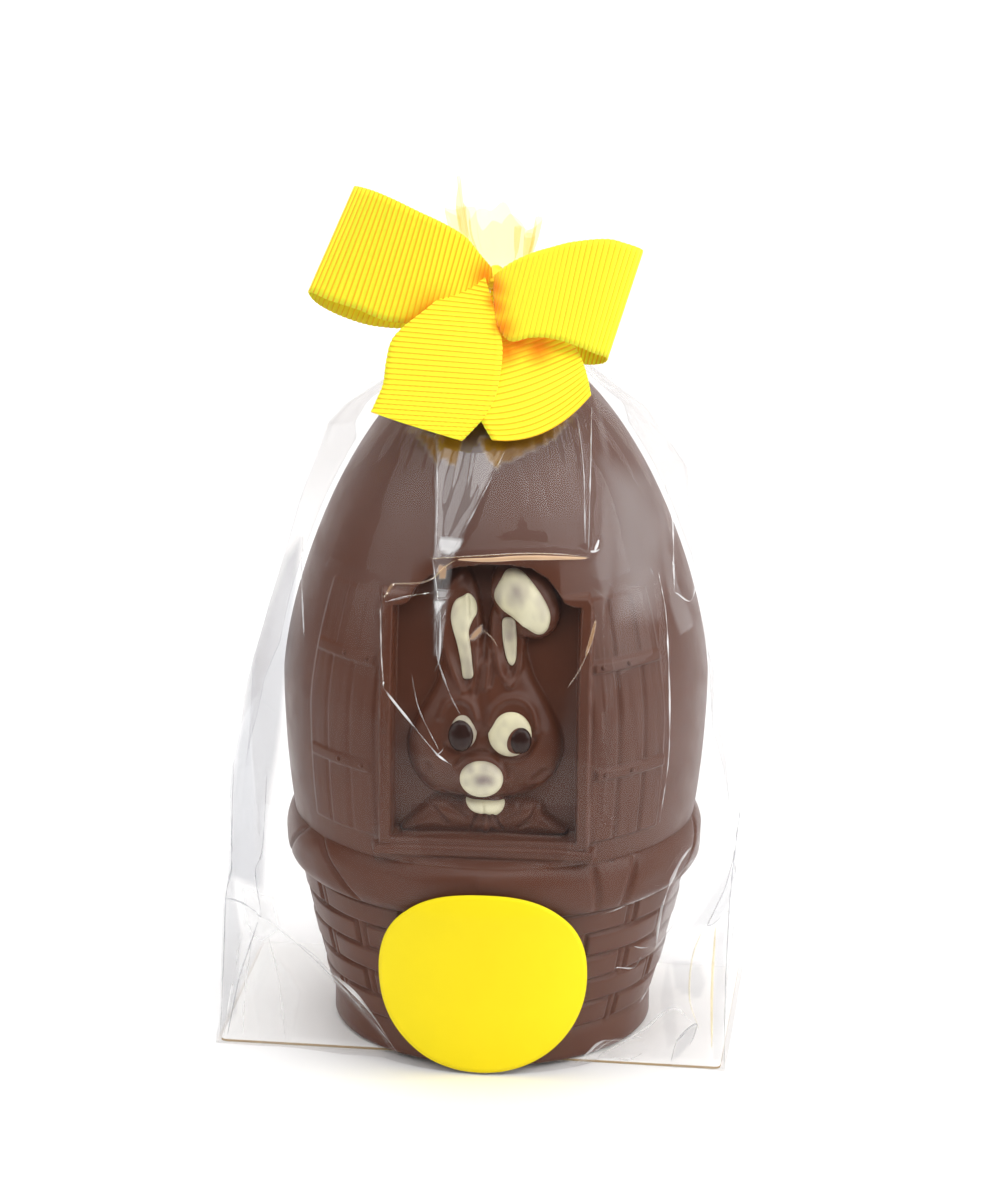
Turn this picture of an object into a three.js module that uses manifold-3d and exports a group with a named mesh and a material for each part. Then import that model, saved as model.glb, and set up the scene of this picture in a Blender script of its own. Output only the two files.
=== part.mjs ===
// A moulded milk chocolate egg in a clear block-bottom bag, tied with a ribbon bow.
// Millimetres, +Z up, front towards -Y. The origin lies on the egg's axis, on the surface it stands on.
import * as THREE from 'three';
import { mergeVertices } from 'three/addons/utils/BufferGeometryUtils.js';
import Module from 'manifold-3d';

const wasm = await Module();
wasm.setup();

// ---- driving dimensions ----
const GAP = 0.3;              // clearance between neighbouring pieces
const WINDOW_YAW = -4;        // degrees that the window is turned about the upright axis

// card that the egg stands on
const CARD = { width: 120, depth: 64, thick: 0.8, corner: 1.5, yaw: -6.5, x: -1.8, y: 3.2 };

// egg: its profile is widest at bellyZ and closes at top
const EGG_BASE = CARD.thick + GAP;
const EGG = { bellyR: 50.5, bellyZ: 88, top: 169.4, topPower: 1.5, topRoot: 0.546, tuck: 106 };
const FOOT = { radius: 38.2, top: 9.4 };
const BASKET = { bottomR: 38.9, topR: 46.7, top: 41.6, rows: 5, strips: 10 };
const WEAVE = { relief: 1.2, stakeHalf: 1.5, stripHalf: 2.2, groove: 0.9, phase: 13.7 };
const RIM = { radius: 49.9, z: 48.2, half: 6.6, seat: 46.4 };

// window let into the front of the egg
const WINDOW = { half: 21.5, mid: 0.65, bottom: 60.5, top: 115.8, bar: 3, recess: 6.5, setback: 3.6 };
const ARCH = { left: -17.5, right: 18.3, top: 127.4 };
const SILL = { half: 26.2, bottom: 55.9, top: 59, out: 0.8, round: 1.4 };
const SHUTTER = { from: 29.4, to: 55, bottom: 60, top: 117.4, planks: 3, out: 0.9, seam: 0.8 };
const BATTENS = { z: [102.5, 77], high: 2.7, out: 1.8, from: 31, to: 53.5 };

// bag: clear film, pulled in to a neck and flaring out above it
const FILM = { wall: 0.7, clear: 0.8, overNose: 2.4 };
const NECK = { z: 182, radius: 5.2, x: -0.8, y: -0.5 };
const RUFF = { top: 208, halfWidth: 10.5, halfDepth: 6.2, pleats: 7 };

const LABEL = { radius: 24.8, thick: 0.4, x: -2.6, z: 25.2 };
const RIBBON = { width: 25.4, thick: 0.5 };

// ---- materials ----
const plain = (color, roughness, metalness = 0) =>
  new THREE.MeshStandardMaterial({ color, roughness, metalness });
const milkChocolate = plain(0x5a3226, 0.38);
const whiteChocolate = plain(0xefe6bf, 0.42);
const darkChocolate = plain(0x2c1510, 0.3);
const boardMaterial = plain(0xf6f5f0, 0.7);
const labelMaterial = plain(0xfbe913, 0.5);
const ribbonMaterial = plain(0xfbe022, 0.7);
const filmMaterial = new THREE.MeshStandardMaterial({
  color: 0xf2f4f6, roughness: 0.08, metalness: 0, transparent: true, opacity: 0.25,
});

// ---- small helpers ----
const { degToRad, lerp, clamp, smoothstep } = THREE.MathUtils;
const V2 = (x, y) => new THREE.Vector2(x, y);
const V3 = (x, y, z) => new THREE.Vector3(x, y, z);

// A closed body from a stack of rings of points, each ring anticlockwise seen from above.
function skin(rings) {
  const position = [];
  const index = [];
  const starts = rings.map((ring) => {
    const start = position.length / 3;
    ring.forEach((p) => position.push(p.x, p.y, p.z));
    return start;
  });
  for (let r = 0; r + 1 < rings.length; r++) {
    const low = rings[r].length;
    const high = rings[r + 1].length;
    let i = 0;
    let j = 0;
    while (i < low || j < high) {
      const a = starts[r] + (i % low);
      const b = starts[r + 1] + (j % high);
      if (j === high || (i < low && (i + 1) / low <= (j + 1) / high)) {
        index.push(a, starts[r] + ((i + 1) % low), b);
        i++;
      } else {
        index.push(a, starts[r + 1] + ((j + 1) % high), b);
        j++;
      }
    }
  }
  [0, rings.length - 1].forEach((r) => {
    const ring = rings[r];
    const centre = ring.reduce((sum, p) => sum.add(p), V3(0, 0, 0)).divideScalar(ring.length);
    const hub = position.length / 3;
    position.push(centre.x, centre.y, centre.z);
    ring.forEach((_, k) => {
      const a = starts[r] + k;
      const b = starts[r] + ((k + 1) % ring.length);
      if (r === 0) index.push(hub, b, a);
      else index.push(hub, a, b);
    });
  });
  const geometry = new THREE.BufferGeometry();
  geometry.setAttribute('position', new THREE.Float32BufferAttribute(position, 3));
  geometry.setIndex(index);
  return geometry;
}

// A closed mesh as a solid that can be cut and joined.
function solid(geometry) {
  const bare = geometry.clone();
  bare.deleteAttribute('normal');
  bare.deleteAttribute('uv');
  const merged = mergeVertices(bare, 1e-4);
  return new wasm.Manifold(new wasm.Mesh({
    numProp: 3,
    vertProperties: new Float32Array(merged.attributes.position.array),
    triVerts: new Uint32Array(merged.index.array),
  }));
}

function geometryOf(body) {
  const { vertProperties, triVerts } = body.getMesh();
  const geometry = new THREE.BufferGeometry();
  geometry.setAttribute('position', new THREE.BufferAttribute(vertProperties, 3));
  geometry.setIndex(new THREE.BufferAttribute(triVerts, 1));
  return geometry;
}

function mesh(name, geometry, material) {
  const made = new THREE.Mesh(geometry, material);
  made.name = name;
  return made;
}

function ellipsoid({ x, y, z, rx, ry, rz, tilt = 0 }, grow = 0) {
  const ball = new THREE.SphereGeometry(1, 11, 7);
  ball.scale(rx + grow, ry + grow, rz + grow);
  ball.rotateY(degToRad(tilt));
  ball.translate(x, y, z);
  return solid(ball);
}

// A flat outline given as (across, up), pushed through the egg along Y.
function through(shape, fromY, toY, segments = 6) {
  const slab = new THREE.ExtrudeGeometry(shape, {
    depth: toY - fromY, bevelEnabled: false, curveSegments: segments,
  });
  slab.rotateX(Math.PI / 2);
  slab.translate(0, toY, 0);
  return solid(slab);
}

// ---- the egg's profile ----
function eggRadius(z) {
  if (z >= EGG.bellyZ) {
    const up = clamp((z - EGG.bellyZ) / (EGG.top - EGG.bellyZ), 0, 1);
    return EGG.bellyR * (1 - up ** EGG.topPower) ** EGG.topRoot;
  }
  const down = (EGG.bellyZ - z) / EGG.tuck;
  return EGG.bellyR * Math.sqrt(1 - down * down);
}

function basketRadius(z) {
  const up = clamp((z - FOOT.top) / (BASKET.top - FOOT.top), 0, 1);
  return lerp(BASKET.bottomR, BASKET.topR, up ** 0.9);
}

// The widest the egg gets at each height, with its foot, weave and rim.
function outerRadius(z) {
  if (z < FOOT.top) return FOOT.radius + 0.5;
  if (z < BASKET.top) return basketRadius(z);
  const part = (z - RIM.z) / RIM.half;
  return Math.abs(part) < 1 ? Math.max(rimRadius(part), eggRadius(z)) : eggRadius(z);
}

// The rim's round face, from -1 at its lower edge to 1 at its upper one.
function rimRadius(part) {
  return lerp(RIM.seat, RIM.radius, Math.sqrt(1 - part * part) ** 0.8);
}

const onEgg = (radius, degrees, z) => {
  const a = degToRad(degrees);
  return V3(radius * Math.sin(a), -radius * Math.cos(a), z);
};

// ---- basket weave: strips pass over every other stake and dive behind the ones between ----
const STAKE_STEP = 180 / BASKET.strips;

// Angles of a ring's points: four at each stake, two on the strips beside it and two on it.
function weaveAngles() {
  const angles = [];
  for (let stake = 0; stake < 2 * BASKET.strips; stake++) {
    const centre = stake * STAKE_STEP + WEAVE.phase;
    [-WEAVE.stripHalf, -WEAVE.stakeHalf, WEAVE.stakeHalf, WEAVE.stripHalf].forEach((step, side) =>
      angles.push({ degrees: centre + step, stake, onStake: side === 1 || side === 2 }));
  }
  return angles;
}

function weaveRing(z, row, depth) {
  return weaveAngles().map(({ degrees, stake, onStake }) => {
    const stakeShows = onStake && (stake + row) % 2 === 0;
    const sink = Math.max(depth, stakeShows ? WEAVE.relief * 0.6 : 0);
    return onEgg(basketRadius(z) - sink, degrees, z);
  });
}

function basketRings() {
  const rings = [];
  const rowHigh = (BASKET.top - FOOT.top) / BASKET.rows;
  for (let row = 0; row < BASKET.rows; row++) {
    const low = FOOT.top + row * rowHigh;
    rings.push(weaveRing(low + WEAVE.groove * 0.5, row, WEAVE.relief));
    rings.push(weaveRing(low + WEAVE.groove, row, 0));
    rings.push(weaveRing(low + rowHigh - WEAVE.groove * 0.4, row, 0));
  }
  return rings;
}

// A plain ring round the egg, turned so that its points line up with the weave's.
function plainRing(radius, z, count = 80) {
  const step = 360 / count;
  return Array.from({ length: count }, (_, k) => onEgg(radius, WEAVE.phase + (k - 0.5) * step, z));
}

function rimRings() {
  return [-1, -0.8, -0.35, 0.2, 0.7, 1].map((part) =>
    plainRing(rimRadius(part), RIM.z + part * RIM.half, 48));
}

function eggBody() {
  const rings = [
    plainRing(FOOT.radius - 1, EGG_BASE, 40),
    plainRing(FOOT.radius, EGG_BASE + 1, 40),
    plainRing(FOOT.radius, FOOT.top - 0.4, 40),
    plainRing(FOOT.radius - 0.6, FOOT.top, 40),
    ...basketRings(),
    ...rimRings(),
    plainRing(eggRadius(57), 57, 48),
  ];
  const levels = 14;
  for (let k = 1; k < levels; k++) {
    const z = lerp(57, EGG.top, Math.sin((k / levels) * Math.PI * 0.5) ** 0.92);
    rings.push(plainRing(eggRadius(z), z, k > levels - 3 ? 24 : 48));
  }
  rings.push(plainRing(2.2, EGG.top - 0.25, 12));
  return solid(skin(rings));
}

// ---- window ----
// Depth of the window's flat front at each height, seen from the side.
const frameFront = (z) => -(eggRadius(z) - WINDOW.setback);

function windowOutline(grow = 0) {
  const { half, mid, bottom, top } = WINDOW;
  const shape = new THREE.Shape();
  shape.moveTo(mid - half - grow, bottom - grow);
  shape.lineTo(mid + half + grow, bottom - grow);
  shape.lineTo(mid + half + grow, top + grow);
  shape.lineTo(ARCH.right + grow, top + grow);
  shape.bezierCurveTo(
    ARCH.right - 2 + grow, ARCH.top + grow, ARCH.left + 4 - grow, ARCH.top + 3 + grow,
    ARCH.left - grow, top + grow);
  shape.lineTo(mid - half - grow, top + grow);
  shape.closePath();
  return shape;
}

// Everything behind a curved wall that follows the window's front, moved back by some depth.
function behindFront(back, halfWidth) {
  const profile = new THREE.Shape();
  const low = 50;
  const high = 140;
  const steps = 14;
  profile.moveTo(0, low);
  for (let k = 0; k <= steps; k++) {
    const z = lerp(low, high, k / steps);
    profile.lineTo(frameFront(z) + back, z);
  }
  profile.lineTo(0, high);
  profile.closePath();
  const slab = new THREE.ExtrudeGeometry(profile, { depth: 2 * halfWidth, bevelEnabled: false });
  // the outline is (depth, up), and the slab runs across
  slab.applyMatrix4(new THREE.Matrix4().set(
    0, 0, 1, -halfWidth,
    1, 0, 0, 0,
    0, 1, 0, 0,
    0, 0, 0, 1));
  return solid(slab);
}

// The egg's front is flattened round the window, from the rim up to the window's top.
function flattened(body, proud = 0) {
  const slab = new THREE.Shape();
  const left = WINDOW.mid - SILL.half - proud;
  const right = WINDOW.mid + SILL.half + proud;
  const low = RIM.z + RIM.half - 0.4;
  slab.moveTo(left, low);
  slab.lineTo(right, low);
  slab.lineTo(right, WINDOW.top);
  slab.lineTo(left, WINDOW.top);
  slab.closePath();
  return body.subtract(through(slab, -70, -20).subtract(behindFront(-proud, 40)));
}

function windowFrame() {
  const { half, mid, bottom, top, bar } = WINDOW;
  const outer = new THREE.Shape();
  outer.moveTo(mid - half - bar, bottom - 2);
  outer.lineTo(mid + half + bar, bottom - 2);
  outer.lineTo(mid + half + bar, top + bar);
  outer.lineTo(mid - half - bar, top + bar);
  outer.closePath();
  return through(outer, -60, -30)
    .subtract(through(windowOutline(), -70, -20))
    .intersect(behindFront(0, 30));
}

function sill() {
  const { half, bottom, top, round } = SILL;
  const left = WINDOW.mid - half;
  const right = WINDOW.mid + half;
  const shape = new THREE.Shape();
  shape.moveTo(left + round, bottom);
  shape.lineTo(right - round, bottom);
  shape.absarc(right - round, bottom + round, round, -Math.PI / 2, 0);
  shape.lineTo(right, top);
  shape.lineTo(left, top);
  shape.lineTo(left, bottom + round);
  shape.absarc(left + round, bottom + round, round, Math.PI, Math.PI * 1.5);
  return through(shape, -60, -30, 3).intersect(behindFront(-SILL.out, 30));
}

// A curved plate on the egg between two angles and two heights.
function plate(from, to, bottom, top, out, across, up) {
  const rings = [];
  for (let k = 0; k <= up; k++) {
    const z = lerp(bottom, top, k / up);
    const ring = [];
    for (let i = 0; i <= across; i++) {
      ring.push(onEgg(eggRadius(z) + out, lerp(from, to, i / across), z));
    }
    for (let i = across; i >= 0; i--) {
      ring.push(onEgg(eggRadius(z) - 3, lerp(from, to, i / across), z));
    }
    rings.push(ring);
  }
  return solid(skin(rings));
}

function shutter(side) {
  const { from, to, bottom, top, planks, out, seam } = SHUTTER;
  const wide = (to - from) / planks;
  let made = null;
  const add = (piece) => {
    made = made ? made.add(piece) : piece;
  };
  const between = (a, b, ...rest) => (side > 0 ? plate(a, b, ...rest) : plate(-b, -a, ...rest));
  for (let k = 0; k < planks; k++) {
    add(between(from + k * wide, from + (k + 1) * wide - seam, bottom, top, out, 1, 5));
  }
  BATTENS.z.forEach((z) =>
    add(between(BATTENS.from, BATTENS.to, z - BATTENS.high / 2, z + BATTENS.high / 2,
      BATTENS.out, 3, 1)));
  return made;
}

// ---- rabbit looking out of the window; across, depth in front of the recess and height ----
const RELIEF = 0.85;
const recessFloor = (z) => frameFront(z) + WINDOW.recess;
const lump = (x, z, rx, rz, ry, tilt = 0, sink = 0) =>
  ({ x, y: recessFloor(z) + sink * RELIEF, z, rx, ry: ry * RELIEF, rz, tilt });

const EAR_LEFT = lump(-5.6, 109.5, 5.3, 14.5, 4.6, -5);
const EAR_RIGHT = lump(5, 107.5, 4.6, 14, 4.6, 5);
const EAR_FLAP = lump(9.1, 116.9, 6.7, 9.4, 4.2, -38, -2.6);
const RABBIT = [
  EAR_LEFT,
  EAR_RIGHT,
  EAR_FLAP,
  lump(0.4, 90.5, 12.4, 13, 6.2),                    // forehead
  lump(-9.2, 79.8, 8.2, 9, 5.6, -14),                // cheeks
  lump(10.4, 80, 8.6, 9.2, 5.6, 14),
  lump(0.2, 76.6, 8.4, 6.9, 7.6),                    // muzzle
  lump(0.7, 68.2, 5.4, 3.2, 5.2),                    // chin
  lump(-10, 64.6, 9, 4.2, 3.6, -8),                  // shoulders
  lump(11, 64.8, 9, 4.2, 3.6, 8),
  lump(-7.8, 66.2, 5.6, 3.4, 4.8, 14),               // neckerchief's bows and knot
  lump(9, 66.4, 5.6, 3.4, 4.8, -14),
  lump(0.9, 64, 2.2, 3, 5.2),
];

const rabbit = (grow = 0) =>
  RABBIT.map((part) => ellipsoid(part, grow)).reduce((sum, part) => sum.add(part));

// A thin cap lying on a lump: the lump grown by its thickness, inside an outline.
function cap(part, outline, thick) {
  return ellipsoid(part, GAP + thick)
    .subtract(rabbit(GAP))
    .subtract(behindFront(WINDOW.recess - GAP, 30))
    .intersect(through(outline, -60, part.y, 3));
}

function oval(x, z, halfWidth, halfHeight, tilt = 0) {
  const shape = new THREE.Shape();
  shape.absellipse(x, z, halfWidth, halfHeight, 0, Math.PI * 2, false, degToRad(tilt));
  return shape;
}

function splineOutline(points) {
  const shape = new THREE.Shape();
  shape.moveTo(points[0].x, points[0].y);
  shape.splineThru([...points.slice(1), points[0]]);
  return shape;
}

const EYE_RIGHT = lump(6.5, 86.7, 5, 5.4, 2.6, 0, -4.6);
const EYE_LEFT = lump(-4.1, 87, 3.5, 4.6, 2.6, 0, -5);
const NOSE = lump(0.15, 76, 5.1, 4.4, 3.4, 0, -6.6);
const PUPIL_RIGHT = lump(8.9, 85.7, 2.7, 3.2, 1.7, 0, -6.4);
const PUPIL_LEFT = lump(-4.6, 86.3, 2.3, 3.2, 1.6, 0, -6.6);

function inlays() {
  const eyeRight = ellipsoid(EYE_RIGHT).subtract(rabbit(GAP)).subtract(ellipsoid(PUPIL_RIGHT, GAP));
  const eyeLeft = ellipsoid(EYE_LEFT).subtract(rabbit(GAP)).subtract(ellipsoid(PUPIL_LEFT, GAP));
  const nose = ellipsoid(NOSE).subtract(rabbit(GAP));
  const teethShape = oval(0.8, 68.1, 4.4, 2.1);
  const muzzleY = recessFloor(70) - 5.6 * RELIEF;
  const teeth = through(teethShape, muzzleY - 1.4, muzzleY + 0.6, 5)
    .subtract(rabbit(GAP))
    .subtract(ellipsoid(NOSE, GAP));
  const stripeLeft = splineOutline([
    V2(-3.9, 117.6), V2(-6.6, 116.6), V2(-7.8, 113.2), V2(-6.3, 106.4), V2(-4.6, 99.4),
    V2(-2.5, 99.8), V2(-3.4, 108.5), V2(-2, 114),
  ]);
  const flap = splineOutline([
    V2(4.9, 123.7), V2(7.9, 123.6), V2(10.9, 121.2), V2(14, 117.2), V2(14.9, 113.4),
    V2(12.1, 109.8), V2(6, 113.4), V2(2.4, 117.4),
  ]);
  return [
    ['ear_stripe_left', cap(EAR_LEFT, stripeLeft, 1), whiteChocolate],
    ['ear_stripe_right', cap(EAR_RIGHT, oval(5.9, 107.6, 1.6, 5.4), 1), whiteChocolate],
    ['ear_flap_patch', cap(EAR_FLAP, flap, 1.3), whiteChocolate],
    ['eye_white_right', eyeRight, whiteChocolate],
    ['eye_white_left', eyeLeft, whiteChocolate],
    ['pupil_right', ellipsoid(PUPIL_RIGHT).subtract(rabbit(GAP)), darkChocolate],
    ['pupil_left', ellipsoid(PUPIL_LEFT).subtract(rabbit(GAP)), darkChocolate],
    ['nose', nose, whiteChocolate],
    ['teeth', teeth, whiteChocolate],
  ];
}

function egg() {
  const recess = through(windowOutline(), -70, -20)
    .subtract(behindFront(WINDOW.recess, 30));
  return flattened(eggBody())
    .subtract(recess)
    .add(rabbit().intersect(behindFront(-6, 30)))
    .add(windowFrame())
    .add(sill())
    .add(shutter(-1))
    .add(shutter(1));
}

// ---- card ----
function card() {
  const { width, depth, thick, corner, yaw, x, y } = CARD;
  const w = width / 2;
  const d = depth / 2;
  const shape = new THREE.Shape();
  shape.moveTo(-w + corner, -d);
  shape.absarc(w - corner, -d + corner, corner, -Math.PI / 2, 0);
  shape.absarc(w - corner, d - corner, corner, 0, Math.PI / 2);
  shape.absarc(-w + corner, d - corner, corner, Math.PI / 2, Math.PI);
  shape.absarc(-w + corner, -d + corner, corner, Math.PI, Math.PI * 1.5);
  const board = new THREE.ExtrudeGeometry(shape, {
    depth: thick, bevelEnabled: false, curveSegments: 3,
  });
  board.rotateZ(degToRad(yaw));
  board.translate(x, y, 0);
  return board;
}

// ---- bag ----
// The bag's side creases, as height and distance from the axis: straight up from the card's
// corners, in over the egg, and down from the shoulders to the neck.
const LEFT_CREASE = [[0, 65.6], [50, 63.6], [84, 60.4], [106, 54], [130, 47], [148.4, 41.4],
  [153.5, 36.4], [158, 29.6], [166, 18.5], [174, 10]];
const RIGHT_CREASE = [[0, 55], [47, 57.6], [74, 54.4], [110, 47.4], [128, 46], [139, 44.8],
  [153.5, 35], [160, 25.6], [167, 16.5], [174, 9.5]];
// Taut film from the shoulders of the egg up to the neck, as height and radius.
const TENT = [[150, 30], [155, 26], [160, 21.6], [165, 17], [170, 12.5], [175, 8.6], [180, 5.7]];
const LEVELS = [0, 12, 28, 44, 50, 60, 74, 90, 104, 118, 131, 140, 148.4, 153.5, 159, 166, 173];
// Room for the egg inside the bag, as height and radius.
const ROOM = [[9.4, 38.7], [10, 39.9], [25, 43.4], [41, 47.4], [42.6, 49.5], [44.5, 50.3], [48.2, 50.6],
  [52, 50.2], [55.4, 49]];
const ROOM_LEVELS = [74, 88, 97, 107, 118, 131, 143, 151, 157, 162, 166, 168.6];
const SIDE_POINTS = 4;
const TUCK = 40;  // degrees from the front at which the film leaves the basket below the rim
const FACE_POINTS = 13;

// A value read off straight lines between a few (height, value) pairs.
function along(pairs, z) {
  const next = pairs.findIndex(([height]) => height > z);
  if (next === 0) return pairs[0][1];
  if (next < 0) return pairs[pairs.length - 1][1];
  const [z0, v0] = pairs[next - 1];
  const [z1, v1] = pairs[next];
  return lerp(v0, v1, (z - z0) / (z1 - z0));
}

// Radius of the film where it lies on the egg, bridging the weave from the rim to the foot.
function filmRadius(z) {
  const grown = FILM.clear + FILM.wall;
  const rimLow = RIM.z - 4;
  const rimHigh = RIM.z + 2;
  if (z < rimLow) return lerp(FOOT.radius + 1.6, RIM.radius + grown, z / rimLow);
  if (z < rimHigh) return RIM.radius + grown;
  const fromRim = z < EGG.bellyZ ? lerp(RIM.radius, EGG.bellyR, (z - rimHigh) / (EGG.bellyZ - rimHigh)) : 0;
  const onShell = Math.max(outerRadius(z), fromRim) + grown;
  return z < TENT[0][0] ? onShell : along(TENT, z);
}

function creaseCorner(side, face, z) {
  const twist = Math.sin(degToRad(-CARD.yaw)) * CARD.depth * clamp(1 - z / 90, 0, 1) * 0.5;
  const reach = side < 0 ? -along(LEFT_CREASE, z) + twist : along(RIGHT_CREASE, z) + twist;
  const deep = lerp(CARD.depth / 2 + 0.6, 3, smoothstep(z, 0, 158) ** 0.8);
  const skew = -side * Math.tan(degToRad(-CARD.yaw)) * -60 * clamp(1 - z / 120, 0, 1);
  const corner = V2(reach + face * twist, face * deep + CARD.y * clamp(1 - z / 90, 0, 1) - skew);
  const least = filmRadius(z) + 0.4;
  return corner.length() < least ? corner.setLength(least) : corner;
}

// Points along one face of the bag, from one crease round the egg to the next. In front of the
// window the film is stretched flat between the bars.
function facePath(from, to, z, front) {
  const middle = front ? -90 : 90;
  const byShutters = front && z > SILL.bottom - 1 && z < WINDOW.top + 4;
  const radius = filmRadius(z) + (byShutters ? 1.8 : 0.15);
  const leave = (corner) => {
    const bearing = THREE.MathUtils.radToDeg(Math.atan2(corner.y, corner.x)) - middle;
    const turn = Math.abs(((bearing + 540) % 360) - 180);
    const tangent = turn - THREE.MathUtils.radToDeg(Math.acos(Math.min(1, radius / corner.length())));
    return front && z < RIM.z ? Math.max(TUCK, tangent) : tangent;
  };
  const bySill = z < WINDOW.bottom + 6;
  const bars = bySill ? SILL.half + 2 : WINDOW.half + WINDOW.bar + 1.4;
  const pane = -frameFront(z) + FILM.overNose + FILM.wall + 0.5;
  const rise = (z - RIM.z - 2) / (WINDOW.top - RIM.z - 2);
  const bridge = lerp(filmRadius(RIM.z), filmRadius(WINDOW.top) + 0.4, rise);
  const path = [from];
  const steps = 30;
  const start = -leave(from);
  const end = leave(to);
  for (let k = 0; k <= steps; k++) {
    const a = degToRad(middle + lerp(start, end, k / steps));
    const p = V2(radius * Math.cos(a), radius * Math.sin(a));
    if (byShutters && Math.abs(p.x) < bars) p.y = -Math.max(pane, Math.min(-p.y, bridge));
    path.push(p);
  }
  path.push(to);
  return path;
}

// The same path again, as evenly spaced points, without its last one.
function evenly(path, count) {
  const lengths = [0];
  for (let k = 1; k < path.length; k++) {
    lengths.push(lengths[k - 1] + path[k].distanceTo(path[k - 1]));
  }
  const total = lengths[lengths.length - 1];
  return Array.from({ length: count }, (_, i) => {
    const want = (total * i) / count;
    let k = 1;
    while (lengths[k] < want) k++;
    const share = (want - lengths[k - 1]) / (lengths[k] - lengths[k - 1] || 1);
    return path[k - 1].clone().lerp(path[k], share);
  });
}

// A side gusset: straight between its creases, folded in at the middle as it rises.
function gusset(from, to, z) {
  const fold = 9 * smoothstep(z, 40, 130) * clamp((170 - z) / 25, 0, 1);
  return Array.from({ length: SIDE_POINTS }, (_, i) => {
    const share = i / SIDE_POINTS;
    const p = from.clone().lerp(to, share);
    const wanted = p.length() - fold * (1 - Math.abs(2 * share - 1));
    return p.setLength(Math.max(wanted, filmRadius(z) + 0.4 * (1 + share)));
  });
}

function bagRing(z) {
  const [frontLeft, frontRight, backRight, backLeft] =
    [[-1, -1], [1, -1], [1, 1], [-1, 1]].map(([side, face]) => creaseCorner(side, face, z));
  return [
    ...evenly(facePath(frontLeft, frontRight, z, true), FACE_POINTS),
    ...gusset(frontRight, backRight, z),
    ...evenly(facePath(backRight, backLeft, z, false), FACE_POINTS),
    ...gusset(backLeft, frontLeft, z),
  ].map((p) => V3(p.x, p.y, z));
}

// A gathered ring round the neck or in the ruff above it.
function gatheredRing(z, halfWidth, halfDepth, pleat) {
  const count = 2 * (FACE_POINTS + SIDE_POINTS);
  return Array.from({ length: count }, (_, k) => {
    const a = (k / count) * Math.PI * 2 - Math.PI * 0.78;
    const wave = 1 + pleat * Math.sin(RUFF.pleats * a);
    return V3(NECK.x + halfWidth * wave * Math.cos(a), NECK.y + halfDepth * wave * Math.sin(a), z);
  });
}

function bag() {
  const rings = LEVELS.map(bagRing);
  const { radius, z } = NECK;
  rings.push(gatheredRing(z - 3.5, radius + 0.3, radius, 0));
  rings.push(gatheredRing(z + 2.5, radius, radius, 0));
  rings.push(gatheredRing(z + 6, radius + 1.2, radius, 0.08));
  rings.push(gatheredRing(lerp(z, RUFF.top, 0.55), RUFF.halfWidth * 0.8, RUFF.halfDepth, 0.16));
  rings.push(gatheredRing(RUFF.top, RUFF.halfWidth, RUFF.halfDepth, 0.22));
  const outer = solid(skin(rings)).add(windowRoom(FILM.clear + FILM.wall));
  return outer.subtract(eggRoom()).subtract(cardRoom());
}

// The window, its sill and its shutters with some room round them.
function windowRoom(room) {
  const block = (half, bottom, top, out) => {
    const left = WINDOW.mid - half - room;
    const right = WINDOW.mid + half + room;
    const slab = new THREE.Shape();
    slab.moveTo(left, bottom - room);
    slab.lineTo(right, bottom - room);
    slab.lineTo(right, top + room);
    slab.lineTo(left, top + room);
    return through(slab, -60, -20).intersect(behindFront(-out - room, 30));
  };
  const spare = THREE.MathUtils.radToDeg(room / EGG.bellyR);
  const { from, to, bottom, top } = SHUTTER;
  const beside = (a, b) =>
    plate(a - spare, b + spare, bottom - room, top + room, BATTENS.out + room, 4, 5);
  return block(WINDOW.half + WINDOW.bar, WINDOW.bottom, WINDOW.top + WINDOW.bar, 0)
    .add(block(SILL.half, SILL.bottom, SILL.top, SILL.out))
    .add(beside(-to, -from))
    .add(beside(from, to))
    .rotate([0, 0, WINDOW_YAW]);
}

// Room for the egg inside the bag.
function eggRoom() {
  const profile = [V2(0, CARD.thick), V2(FOOT.radius + FILM.clear, CARD.thick)];
  ROOM.forEach(([z, radius]) => profile.push(V2(radius, z)));
  ROOM_LEVELS.forEach((z) => profile.push(V2(eggRadius(z) + FILM.clear, z)));
  profile.push(V2(0, EGG.top + FILM.clear));
  const shell = new THREE.LatheGeometry(profile, 24);
  shell.rotateX(Math.PI / 2);
  const turned = solid(shell).rotate([0, 0, -WINDOW_YAW]);
  return flattened(turned, FILM.overNose).rotate([0, 0, WINDOW_YAW]).add(windowRoom(FILM.clear));
}

function cardRoom() {
  const { width, depth, thick, yaw, x, y } = CARD;
  const room = new THREE.BoxGeometry(width + 2 * GAP, depth + 2 * GAP, 2 * (thick + GAP));
  room.rotateZ(degToRad(yaw));
  room.translate(x, y, 0);
  return solid(room);
}

// ---- label: a disc wrapped round the bag's front ----
function label() {
  const { radius, thick, x, z: middle } = LABEL;
  const rings = 3;
  const profile = [];
  for (let k = 0; k <= rings; k++) profile.push(V2((radius * k) / rings, 0));
  for (let k = rings; k >= 0; k--) profile.push(V2((radius * k) / rings, thick));
  const disc = new THREE.LatheGeometry(profile, 26);
  const place = disc.attributes.position;
  const slope = Math.atan2(filmRadius(45) - filmRadius(5), 40);
  for (let i = 0; i < place.count; i++) {
    const z = middle - place.getZ(i) * Math.cos(slope);
    const r = filmRadius(z) + 2.5 * GAP + place.getY(i);
    const a = (x + place.getX(i)) / filmRadius(z);
    place.setXYZ(i, r * Math.sin(a), -r * Math.cos(a), z);
  }
  return disc;
}

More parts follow.
